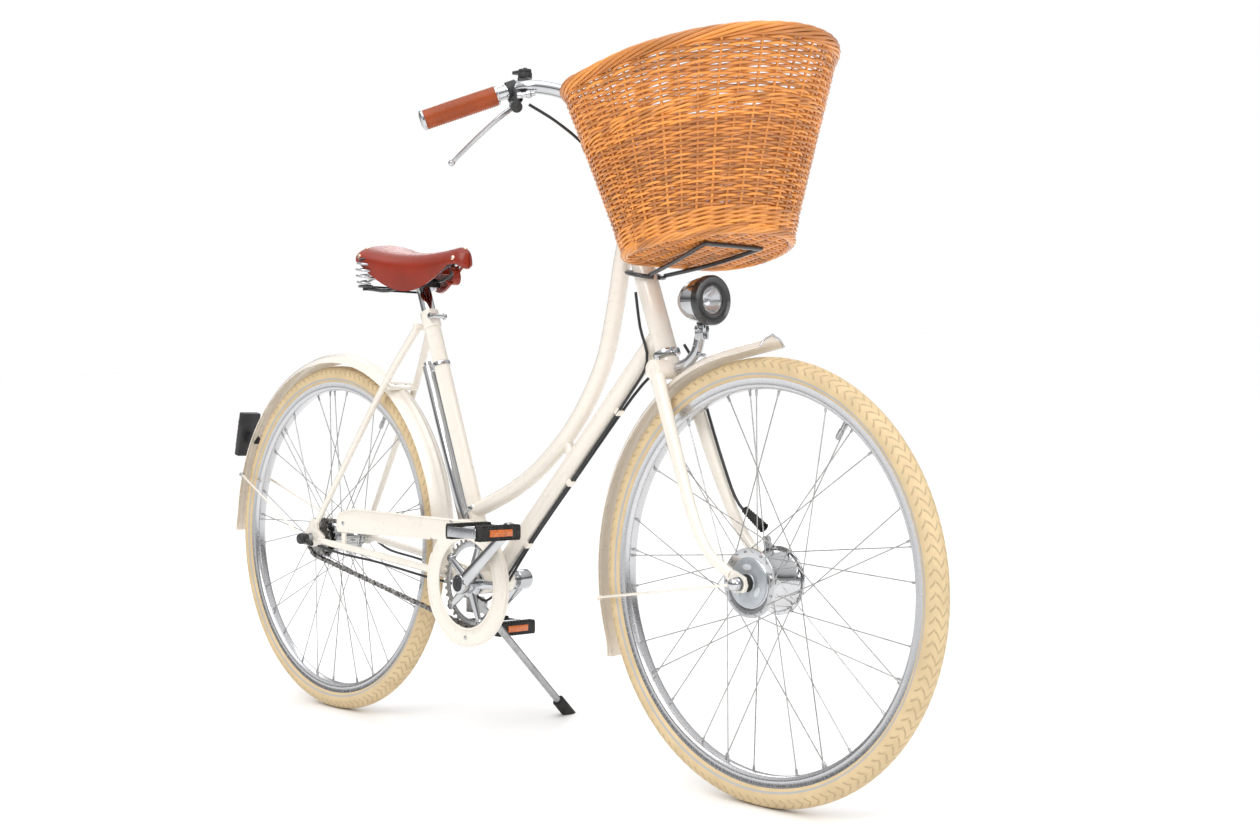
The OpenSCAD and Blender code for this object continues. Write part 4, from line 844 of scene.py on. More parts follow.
class BICYCLE_OT_hubs(Step):
    """Front drum hub with its dished cover, rear geared hub, and their axle caps"""

    bl_idname = "bicycle.hubs"
    bl_label = "Hubs"

    def spoke_heads(self, shape, centre, hole, out):
        """Small domes on the flanges at every spoke hole."""
        side = looks().spoke_count // 2
        dome = [(0, 1.3), (1.3, 1.0), (1.9, 0.2), (1.9, -0.6), (0, -0.6)]
        for s in (-1, 1):
            for k in range(side):
                a = k * TAU / side + (math.pi / side if s > 0 else 0)
                face = s * out + s * (3.0 if k % 2 else -3.0)
                at = centre + [hole * math.cos(a), face, hole * math.sin(a)]
                shape.lathe(at, SIDE * (s if k % 2 else -s), dome, 10)

    def build(self, context):
        shape = Shape()
        drum = [(0, -38), (7, -38), (7, -36), (20, -35.5), (22, -34.6), (23.5, -36.2), (34, -34.4),
                (36.5, -33.4), (38, -32.2), (44, -33), (51, -33), (51.6, -32.2), (51.6, -29.8), (51, -29),
                (46.2, -28.4), (44.4, -25), (43.6, -12), (43.4, 0), (44.2, 12), (45.4, 25), (47, 28.4),
                (51, 29), (51.6, 29.8), (51.6, 32.2), (51, 33), (45.5, 33.2), (44.8, 34.4), (43.4, 34.6),
                (43, 30), (0, 30)]
        shape.lathe(FRONT_AXLE, SIDE, drum, 96)
        make(shape, "front_drum_hub", "front_wheel", finish("chrome"), replaces=["front_hub"],
             angle=32)

        dish = Shape()
        dish.lathe(FRONT_AXLE, -SIDE, [(7.4, 34.6), (8, 38.6), (14, 38.6), (15, 36.9), (33.5, 36.6),
                                       (36.4, 35.4), (37, 33.2), (7.4, 33.2), (7.4, 34.6)], 72)
        make(dish, "front_hub_cover", "front_wheel", finish("cover_grey"), angle=30)

        ovals = Shape()
        t = np.arange(28) * TAU / 28
        for k in range(3):
            a = math.radians(90 + 120 * k)
            c, s = math.cos(a), math.sin(a)
            x, z = 23.5 + 4.6 * np.cos(t), 8.6 * np.sin(t)
            outline = FRONT_AXLE + np.stack([c * x - s * z, 0 * t - 37.25, s * x + c * z], -1)
            middle = FRONT_AXLE + np.array([c * 23.5, -37.25, s * 23.5])
            ovals.plate(outline, middle, 0.5)
        make(ovals, "front_hub_recesses", "front_wheel", finish("recess_grey"))

        heads = Shape()
        self.spoke_heads(heads, FRONT_AXLE, 46, 31)
        make(heads, "front_spoke_heads", "front_wheel", finish("steel"))
        heads = Shape()
        self.spoke_heads(heads, REAR_AXLE, 34, 30)
        make(heads, "rear_spoke_heads", "rear_wheel", finish("steel"))

        gear = Shape()
        gear.lathe(REAR_AXLE, SIDE, [(0, -39), (18, -39), (21.5, -38), (22, -34), (26, -33.6), (37.4, -32.2),
                                     (38, -31.4), (38, -28.8), (37.2, -28), (31, -27), (29.4, -24),
                                     (28.6, -8), (28.6, 8), (29.6, 24), (31.4, 27), (37.2, 28), (38, 28.8),
                                     (38, 31.4), (37.2, 32.2), (27, 33), (24, 36), (22, 43), (20, 44.6),
                                     (0, 44.6)], 80)
        make(gear, "rear_gear_hub", "rear_wheel", finish("chrome"), replaces=["rear_hub"], angle=32)

        seal = Shape()
        seal.lathe(FRONT_AXLE, -SIDE,
                   [(5, 38.4), (13.2, 38.4), (13.2, 41.5), (11.5, 44.5), (9, 48.4), (5, 48.6)], 40)
        make(seal, "front_hub_seal", "steering", finish("rubber"))

        caps = Shape()
        for s in (-1, 1):
            dome = [(8.2, 60), (10.2, 60.3), (10.4, 64), (9.6, 68), (7.6, 71), (4, 72.8), (0, 73.2), (0, 60)]
            caps.lathe(FRONT_AXLE, SIDE * s, dome, 36)
        make(caps, "front_axle_caps", "steering", finish("chrome"))

        end = Shape()
        end.lathe(REAR_AXLE, -SIDE, [(0, 73), (9.8, 73.2), (10.4, 76), (10.4, 88), (9, 90.6), (0, 91)], 36)
        end.lathe(REAR_AXLE + [16, -80, -5], [0.95, 0, -0.3],
                  [(0, -8), (5.6, -8), (5.6, 8), (3.4, 14), (0, 14)], 24)
        make(end, "gear_cable_cap", "frame", finish("black_plastic"), bevel=0.4)


class BICYCLE_OT_mudguards(Step):
    """Ridged mudguards with rolled edges, and the front one's flared tip"""

    bl_idname = "bicycle.mudguards"
    bl_label = "Mudguards"

    def sheet(self, centre, start, span, flare, low_flare):
        """Arc section (m + s cos a, s sin a) with a ridge, carried round the axle;
        the ends flare outwards."""
        a = np.linspace(-math.radians(64), math.radians(64), 61)
        middle = MUDGUARD_RADIUS - MUDGUARD_SECTION
        y = MUDGUARD_SECTION * np.sin(a)
        ridge = 2.4 * np.exp(-((y / 3.4) ** 2)) - 0.5 * np.exp(-(((np.abs(y) - 8) / 2.2) ** 2))
        r = middle + MUDGUARD_SECTION * np.cos(a) + ridge
        curl = np.exp(-(((np.abs(a) - math.radians(64)) / 0.05) ** 2))
        y = y + np.sign(a) * 1.3 * curl
        t = np.linspace(0, 1, 200)
        rise = flare * np.clip((0.10 - t) / 0.10, 0, 1) ** 2
        up = rise + low_flare * np.clip((t - 0.955) / 0.045, 0, 1) ** 2
        turn = np.radians(start + span * t)[:, None]
        rr = r[None] + up[:, None]
        yy = y[None] * (1 + 0.006 * up[:, None])
        return np.stack([rr * np.cos(turn), yy, rr * np.sin(turn)], -1) + centre

    def build(self, context):
        front = self.sheet(FRONT_AXLE, 88, 116, 8, 6)
        rear = self.sheet(REAR_AXLE, -8, 189, 0, 5)
        make(Shape().grid(front), "front_guard", "steering", finish("paint"),
             replaces=["front_mudguard"], wall=MUDGUARD_SHEET)
        make(Shape().grid(rear), "rear_guard", "frame", finish("paint"),
             replaces=["rear_mudguard"], wall=MUDGUARD_SHEET)
        trim = Shape()
        trim.tube(front[0], 1.7, 10, ref=[0.0, 0.35, 1.0])
        make(trim, "front_guard_tip_trim", "steering", finish("chrome"))


class BICYCLE_OT_basket(Step):
    """Willow basket: stakes, weaving rods, twisted bands, plaited rim and foot, and the woven floor"""

    bl_idname = "bicycle.basket"
    bl_label = "Basket"

    BASE = np.array([884.0, 0, 799.0])
    TILT = math.radians(11.8)
    DEPTH, HALF, HEIGHT = 380.0, 200.0, 271.0
    FLOOR_DEPTH, FLOOR_HALF, FLOOR_BACK = 203.0, 143.0, 38.0

    def outline(self, depth, half, corner, front):
        """D shape: an oval front, straight sides, round rear corners and a straight back."""
        a = np.linspace(-math.pi / 2, math.pi / 2, 140)
        nose = np.stack([depth - front + front * np.cos(a), half * np.sin(a)], -1)
        b = np.linspace(math.pi / 2, math.pi, 50)
        left = np.stack([corner + corner * np.cos(b), half - corner + corner * np.sin(b)], -1)
        right = (left * [1, -1])[::-1]
        k = np.linspace(0, 1, 32)[1:-1, None]
        def join(p, q):
            return p + (q - p) * k
        return np.vstack([nose, join(nose[-1], left[0]), left, join(left[-1], right[0]), right,
                          join(right[-1], nose[0]), nose[:1]])

    def prepare(self):
        floor = self.outline(self.FLOOR_DEPTH, self.FLOOR_HALF, 70, self.FLOOR_DEPTH * 0.62)
        self.low = floor + [self.FLOOR_BACK, 0]
        self.high = self.outline(self.DEPTH, self.HALF, 90, self.DEPTH * 0.6)
        run = np.r_[0, np.cumsum(np.linalg.norm(np.diff(self.high, axis=0), axis=1))]
        self.share = run / run[-1]

    def wall(self, s, h, out):
        """Point of the wall at a share s round the rim and h up it, moved out from its middle line."""
        s = np.mod(s, 1.0)
        low = np.stack([np.interp(s, self.share, self.low[:, k]) for k in (0, 1)], -1)
        high = np.stack([np.interp(s, self.share, self.high[:, k]) for k in (0, 1)], -1)
        flat = low + (high - low) * h[..., None]
        e = 0.004
        ahead = np.stack([np.interp(np.mod(s + e, 1), self.share, self.high[:, k]) for k in (0, 1)], -1)
        behind = np.stack([np.interp(np.mod(s - e, 1), self.share, self.high[:, k]) for k in (0, 1)], -1)
        along = unit(ahead - behind)
        normal = np.stack([along[..., 1], -along[..., 0]], -1)
        flat = flat + normal * (out - 4.5)[..., None]
        local = np.concatenate([flat, (h * self.HEIGHT)[..., None]], -1)
        return self.tilted(local)

    def tilted(self, local):
        """Basket's own axes to the bicycle's: tipped back about the base's rear edge, then moved."""
        c, s = math.cos(self.TILT), math.sin(self.TILT)
        x, y, z = local[..., 0], local[..., 1], local[..., 2]
        return np.stack([c * x - s * z, y, s * x + c * z], -1) + self.BASE

    def ring(self, shape, h, radius, phase, swing, samples, rng, sides=6):
        """One weaving rod: out by swing cos(pi N s + phase), wandering a little up and down."""
        n = looks().stakes
        s = np.arange(samples) / samples
        wander = sum(rng.uniform(0.1, 0.4) * np.sin(TAU * k * s + rng.uniform(0, TAU)) for k in (2, 3, 5, 9))
        out = swing * np.cos(math.pi * n * s + phase)
        p = self.wall(s, h + wander / self.HEIGHT, out)
        thick = radius * (1 + 0.10 * np.sin(TAU * rng.integers(2, 6) * s + rng.uniform(0, TAU)))
        shape.tube(p, thick, sides, loop=True, tone=rng.uniform(0.1, 0.95))

    def rope(self, shape, h, radius, count, turns, wide, high, rng, out=0.0):
        """A band of twisted rods: each goes round the band's oval as it goes round the basket."""
        s = np.arange(420) / 420
        for k in range(count):
            a = TAU * (turns * s + k / count)
            p = self.wall(s, h + high * np.sin(a) / self.HEIGHT, out + wide * np.cos(a))
            shape.tube(p, radius * (1 + 0.06 * np.sin(TAU * 5 * s + k)), 7, loop=True,
                       tone=rng.uniform(0.2, 0.95))

    def build(self, context):
        self.prepare()
        rng = np.random.default_rng(7)
        n = looks().stakes
        rod = looks().rod_radius * 1000
        samples = n * 6

        lower = Shape()
        for k, z in enumerate(np.arange(39, 171, 3.6)):
            self.ring(lower, z / self.HEIGHT, rod * 0.9, math.pi * (k % 2), 2.5, samples, rng)
        upper = Shape()
        for k, z in enumerate(np.arange(184.5, 255, 4.0)):
            self.ring(upper, z / self.HEIGHT, rod * 1.02, math.pi * (k % 2), 2.6, samples, rng)
        weave = finish("willow")
        make(lower, "basket_lower_weave", "steering", weave, replaces=["basket"], angle=180)
        make(upper, "basket_upper_weave", "steering", weave, angle=180)

        stakes = Shape()
        h = np.linspace(0.0, 0.985, 40)
        for k in range(n):
            p = self.wall(np.full(40, k / n) + 0.0006 * np.sin(9 * h + k), h, 0.25 * np.sin(11 * h + k))
            stakes.tube(p, 2.35, 8, tone=0.72 + 0.25 * math.sin(k * 2.4))
        make(stakes, "basket_stakes", "steering", weave, angle=180)

        bands = Shape()
        for z in (173.6, 179.0):
            self.rope(bands, z / self.HEIGHT, 2.2, 3, n // 3, 3.2, 1.6, rng)
        for z in (9.0, 15.0, 21.0, 27.0, 33.0):
            self.rope(bands, z / self.HEIGHT, 2.35, 3, n // 4, 3.2, 1.8, rng)
        make(bands, "basket_bands", "steering", weave, angle=180)

        rim = Shape()
        self.rope(rim, 262.6 / self.HEIGHT, 2.7, 8, 5, 5.0, 6.6, rng, 0.6)
        self.rope(rim, 262.0 / self.HEIGHT, 3.4, 2, 3, 1.2, 3.0, rng, 0.6)
        make(rim, "basket_rim", "steering", weave, angle=180)
        foot = Shape()
        self.rope(foot, 3.5 / self.HEIGHT, 2.6, 6, 7, 4.2, 3.6, rng, 0.8)
        make(foot, "basket_foot", "steering", weave, angle=180)

        floor = Shape()
        inset = 4.0
        for k, x in enumerate(np.arange(self.FLOOR_BACK + 8, self.FLOOR_BACK + self.FLOOR_DEPTH - 6, 4.5)):
            edge = np.abs(self.low[np.abs(self.low[:, 0] - x) < 3.5][:, 1]).max() - inset
            y = np.linspace(-edge, edge, 56)
            z = 4.2 + 2.1 * np.cos(math.pi * y / 26 + math.pi * (k % 2))
            floor.tube(self.tilted(np.stack([np.full(56, x), y, z], -1)), 2.05, 6, tone=rng.uniform(0.1, 0.9))
        for y in np.arange(-130, 131, 26.0):
            x = np.linspace(self.FLOOR_BACK + 10 + 0.0013 * y * y, self.FLOOR_BACK + self.FLOOR_DEPTH - 6
                            - self.FLOOR_DEPTH * 0.62 * (1 - math.sqrt(max(0.0, 1 - (y / 143) ** 2))), 30)
            for side in (-2.2, 2.2):
                floor.tube(self.tilted(np.stack([x, np.full(30, y + side), np.full(30, 4.2)], -1)), 2.3, 8,
                           tone=0.6)
        make(floor, "basket_floor", "steering", weave, angle=180)


class BICYCLE_OT_saddle(Step):
    """Hide stretched from cantle to nose, rivets, coil springs, clamp and nose bolt"""

    bl_idname = "bicycle.saddle"
    bl_label = "Saddle"

    def half(self, f):
        """Half width along the saddle, back (0) to nose (1)."""
        return 18 + 84 * (1 - f) ** 1.7 * (1 - 0.32 * (1 - f) ** 6)

    def skirt(self, f):
        """Drop of the side flap."""
        return 4 + 42 * np.sin(math.pi * np.clip(f * 1.16 + 0.02, 0, 1)) ** 1.15

    def hide(self, f, a):
        """Point of the hide: a is 0 on top and 1 at the flap's lower edge, with the sign of the side."""
        w = self.half(f)
        over = np.clip(np.abs(a) / 0.66, 0, 1) * math.pi / 2
        down = np.clip((np.abs(a) - 0.66) / 0.34, 0, 1)
        rise = 66 + 12 * (1 - f) ** 3 - 11 * np.sin(math.pi * f) - 4 * f
        round_end = 13 * np.clip((f - 0.90) / 0.10, 0, 1) ** 2 + 5 * np.clip((0.05 - f) / 0.05, 0, 1) ** 2
        w = w * (0.10 + 0.90 * np.sqrt(1 - np.clip((f - 0.88) / 0.12, 0, 1) ** 2))
        y = np.sign(a) * w * (np.sin(over) - 0.16 * down**1.5 * np.sin(math.pi * np.clip(f, 0, 1)))
        z = rise - round_end - (1 - np.cos(over)) * 26 - down * self.skirt(f)
        return np.stack([-104 + 244 * f - 6 * down * (f > 0.9), y, z], -1) + SADDLE_AT

    def build(self, context):
        f, a = np.meshgrid(np.linspace(0, 1, 90), np.linspace(-1, 1, 61), indexing="ij")
        hide = make(Shape().grid(self.hide(f, a)), "saddle_hide", "saddle", finish("saddle_leather"),
                    replaces=["saddle_top"], wall=4.6, angle=60)

        rivets = Shape()
        dome = [(0, 2.0), (2.5, 1.5), (4.2, 0.4), (4.4, -0.8), (0, -0.8)]
        spots = [(0.90, 0.55), (0.90, -0.55), (0.05, 0.62), (0.05, -0.62), (0.035, 0.34), (0.035, -0.34),
                 (0.03, 0.0), (0.955, 0.0)]
        for u, v in spots:
            near = np.array([[u, v], [u + 0.01, v], [u, v + 0.01]])
            p = self.hide(near[:, 0], near[:, 1])
            out = unit(np.cross(p[1] - p[0], p[2] - p[0]))
            rivets.lathe(p[0], out, dome, 20)
        make(rivets, "saddle_rivets", "saddle", finish("copper"))

        springs = Shape()
        turns = looks().spring_turns
        t = np.linspace(0, 1, turns * 32 + 1)
        for s in (-1, 1):
            r = 13.6 + 3.4 * np.cos(math.pi * (t - 0.5)) * 0.9
            coil = np.stack([-84 + r * np.cos(TAU * turns * t), s * (66 + r * np.sin(TAU * turns * t)),
                             -1 + 46 * t], -1) + SADDLE_AT
            springs.tube(coil, looks().spring_wire * 1000, 12, ref=[0.02, 0.01, 1])
        make(springs, "saddle_coils", "saddle", finish("chrome"), replaces=["saddle_springs"])

        caps = Shape()
        for s in (-1, 1):
            at = SADDLE_AT + [-84, s * 66, -5]
            caps.lathe(at, [0, 0, 1],
                       [(0, -7), (4.5, -7), (4.5, -3), (13, -2.4), (15, 0), (13, 2.6), (0, 2.8)], 32)
            caps.lathe(at + [0, 0, 50], [0, 0, 1], [(0, -2), (13, -2), (15, 0), (10, 3), (0, 4)], 32)
        make(caps, "saddle_spring_seats", "saddle", finish("gloss_black"))

        clamp = Shape()
        clamp.lathe(SADDLE_AT + [-4, 0, -4], SIDE, rounded_bar(11, 24, 2), 40)
        for s in (-1, 1):
            nut = SADDLE_AT + [-4, s * 30, -4]
            clamp.lathe(nut, SIDE, rounded_bar(8, 4.5, 1), 6)
            clamp.lathe(nut + [0, s * 5, 0], SIDE, rounded_bar(4, 3, 0.8), 24)
        make(clamp, "saddle_clamp", "saddle", finish("chrome"), bevel=0.4)

        nose = Shape()
        way_out = unit([0.88, 0, 0.32])
        at = SADDLE_AT + [112, 0, 33]
        nose.lathe(at, way_out, rounded_bar(8.4, 8, 1), 6)
        nose.lathe(at + way_out * 11, way_out, rounded_bar(6, 4, 1), 30)
        nose.lathe(at - way_out * 14, way_out, rounded_bar(4, 8, 1), 24)
        make(nose, "saddle_nose_bolt", "saddle", finish("chrome"), bevel=0.3)

        loop = Shape()
        a = np.linspace(math.radians(-160), math.radians(160), 40)
        ring = np.stack([15 * np.cos(a), 0 * a, 24 * np.sin(a)], -1) @ np.array(
            [[0.8, 0, 0.6], [0, 1, 0], [-0.6, 0, 0.8]]) + SADDLE_AT + [88, 0, 14]
        width = np.array([-1, 0, 1])[None, :, None] * 7.0 * SIDE
        make(loop.grid(ring[:, None] + width), "saddle_strap", "saddle", finish("saddle_leather"),
             wall=2.4)


class BICYCLE_OT_handlebar(Step):
    """Polished bar, leather grips with their seam and end caps, lever fittings and clamps"""

    bl_idname = "bicycle.handlebar"
    bl_label = "Handlebar and grips"

    def path(self):
        """One side of the bar from the clamp to the grip's end."""
        c = BAR_CLAMP - [50, 0, 0]
        points = [c + [50, 0, 0], c + [50, -28, 0], c + [51, -68, 8], c + [46, -116, 34], c + [10, -160, 46],
                  GRIP_START + 12 * GRIP_WAY, GRIP_END + 10 * GRIP_WAY]
        return smooth(points, 16)

    def build(self, context):
        half = self.path()
        whole = np.vstack([half[::-1], mirrored(half[1:])])
        make(Shape().tube(whole, BAR_RADIUS, 32, ref=[0.1, 0, 1]), "bar_tube", "steering", finish("chrome"),
             replaces=["handlebar"])

        grips, caps, seams = Shape(), Shape(), Shape()
        length = GRIP_LENGTH
        h = np.linspace(2, length, 70)
        swell = GRIP_RADIUS - 0.5 + 0.45 * np.sin(math.pi * h / length)
        for s in (1, -1):
            start, d = GRIP_END * [1, s, 1], GRIP_WAY * [1, s, 1]
            profile = [(BAR_RADIUS, 1.5), *zip(swell, h), (BAR_RADIUS, length + 0.5)]
            grips.lathe(start, d, profile, 48, u=np.linspace(0, length / 1000, len(profile)))
            caps.lathe(start, d, [(0, -1.5), (9, -1.4), (12.6, -0.2), (15.2, 0.6), (16.4, 2), (16.4, 5),
                                  (15, 6), (12, 6), (12, 2), (0, 2)], 48)
            caps.lathe(start + d * length, d, [(BAR_RADIUS, 1), (15.4, 1), (15.8, 0), (15.4, -2),
                                               (BAR_RADIUS, -2), (BAR_RADIUS, 1)], 48)
            down = unit(np.array([0, 0, -1]) - d * -d[2])
            across = np.cross(d, down)
            k = np.arange(30)
            for j in k:
                at = start + d * (8 + j * (length - 14) / 29) + down * (GRIP_RADIUS + 0.1)
                a = at - across * 3.2 - d * 1.2
                b = at + across * 3.2 + d * 1.2
                seams.tube(np.linspace(a, b, 5) - down * (np.linspace(-1, 1, 5) ** 2)[:, None] * 0.4, 0.55, 6,
                           ref=down)
        make(grips, "grip_wraps", "steering", finish("grip_leather"), replaces=["grips"])
        make(caps, "grip_end_caps", "steering", finish("chrome"))
        make(seams, "grip_stitches", "steering", finish("thread"))

        fittings = Shape()
        for s in (1, -1):
            d = GRIP_WAY * [1, s, 1]
            for at in (BRACKET_AT, SHIFTER_AT) if s > 0 else (BRACKET_AT,):
                fittings.lathe(at * [1, s, 1] - d * 9.6, d, [(11.1, -1.6), (12.8, -1.4), (12.8, 1.4),
                                                             (11.1, 1.6), (11.1, -1.6)], 40)
        make(fittings, "bar_clamp_bands", "steering", finish("chrome"))
        adjusters = Shape()
        for s in (1, -1):
            at = (BRACKET_AT + [31, -9, -13]) * [1, s, 1]
            d = unit(np.array([0.72, s * 0.64, 0.12]))
            adjusters.lathe(at, d, [(0, -4), (5, -4), (5.6, -3), (5.6, 3), (4.4, 4), (4.4, 10), (6, 11),
                                    (6, 17), (4, 18.5), (3.2, 24), (0, 24)], 24)
        make(adjusters, "cable_adjusters", "steering", finish("chrome"))
        housings = Shape()
        for s in (1, -1):
            side = [1, s, 1]
            top, middle = BRACKET_AT - [0, 0, 13], (BRACKET_AT + LEVER_PIVOT) / 2 + [3, 0, -2]
            path = smooth(np.array([top, middle, LEVER_PIVOT + [4, 0, 6],
                                    LEVER_PIVOT + [16, -4, 10]]) * side, 8)
            housings.tube(path, np.linspace(8.4, 6.4, len(path)), 20, flat=0.8)
        make(housings, "lever_housings", "steering", finish("black_plastic"))
        stem = Shape()
        stem.lathe(BAR_CLAMP, SIDE, [(11.2, -23), (15.4, -23), (16.4, -22), (16.4, 22), (15.4, 23),
                                     (11.2, 23), (11.2, -23)], 48)
        stem.lathe(on_steer(BAR_HEIGHT), STEER_UP,
                   [(0, 12), (5, 12), (5.6, 11.2), (11.2, 9), (11.3, -6), (0, -6)], 40)
        make(stem, "stem_clamp", "steering", finish("chrome"))


class BICYCLE_OT_lamps(Step):
    """Plated bullet head lamp with its black bezel, reflector and lens, and the rear lamp"""

    bl_idname = "bicycle.lamps"
    bl_label = "Lamps"

    def build(self, context):
        at = LAMP_HINGE + [20, 0, 43]
        ahead = [1, 0, 0]
        shell = Shape()
        shell.lathe(at, ahead, [(0, -62), (5, -61.5), (12, -59), (20, -53), (27, -44.5), (32, -34), (35, -22),
                                (36.6, -8), (37, -3), (34, -3), (32, -20), (0, -30)], 72)
        shell.block(LAMP_HINGE + [0, 0, 6], [12, 8, 20])
        make(shell, "lamp_shell", "headlamp", finish("chrome"), replaces=["headlamp_shell"],
             bevel=0.4)
        bezel = Shape()
        bezel.lathe(at, ahead, [(36.6, -8), (38, -7), (38.4, -4), (38.4, 3), (37.4, 5), (35.5, 5.8),
                                (33, 4.6), (30, 3.8), (24.5, 3.2), (22.6, 4.0), (21.6, 3.2), (21.4, -2),
                                (34, -4), (36.6, -8)], 72)
        make(bezel, "lamp_bezel", "headlamp", finish("gloss_black"), angle=30)
        bowl = Shape()
        r = np.linspace(3.2, 21.4, 14)
        bowl.lathe(at, ahead, np.stack([r, -15 + 13.5 * (r / 21.4) ** 2], -1), 60)
        bowl.lathe(at + [-13, 0, 0], ahead, [(0, 8.6), (2.2, 8), (3.2, 6), (3.2, -2), (0, -2)], 24)
        make(bowl, "lamp_reflector", "headlamp", finish("chrome"))
        lens = Shape()
        lens.lathe(at, ahead, [(0, 5.2), (8, 4.9), (15, 4.0), (21.3, 2.2), (21.3, 0.6), (0, 1.6)], 60)
        make(lens, "lamp_front_lens", "headlamp", finish("lamp_glass"), replaces=["headlamp_lens"])
        switch = Shape()
        switch.block(at + [-19, 0, -31], [14, 14, 12])
        switch.lathe(at + [-19, 0, -38], [0, 0, 1], rounded_bar(5.4, 4, 1), 24)
        make(switch, "lamp_switch", "headlamp", finish("black_plastic"), bevel=2)
        screws = Shape()
        for s in (-1, 1):
            screws.lathe(LAMP_HINGE + [0, s * 8.4, 0], SIDE * s, [(0, 4), (4.4, 4), (5, 3), (5, 0), (0, 0)],
                         6)
            for k in range(2):
                screws.lathe(LAMP_HINGE + [-9 + 8 * k, s * 5, -24 - 16 * k], SIDE * s,
                             rounded_bar(3, 3, 0.8), 20)
        make(screws, "lamp_bracket_screws", "steering", finish("chrome"), bevel=0.3)

        c = REAR_AXLE + MUDGUARD_RADIUS * np.array([math.cos(REAR_LAMP_ANGLE), 0, math.sin(REAR_LAMP_ANGLE)])
        tip = math.radians(13)
        turn = np.array([[math.cos(tip), 0, -math.sin(tip)], [0, 1, 0], [math.sin(tip), 0, math.cos(tip)]])
        housing = Shape()
        housing.block(c + [-38, 0, 12], [15, 44, 92], turn)
        housing.block(c + [-13, 0, 3], [34, 16, 22])
        make(housing, "rear_lamp_housing", "frame", finish("black_plastic"),
             replaces=["rear_lamp"], bevel=3.2)
        red = Shape()
        red.block(c + [-48, 0, 14.5], [8, 36, 60], turn)
        make(red, "rear_lamp_lens", "frame", finish("red_lens"), bevel=3)
        bar = Shape()
        for k in range(6):
            bar.block(c + [-52.6 + 2.2 * (k - 2.5) * 0.9, 0, 14.5 + (k - 2.5) * 9.2], [1.4, 34, 1.6], turn)
        make(bar, "rear_lamp_ribs", "frame", finish("red_lens"), bevel=0.3)


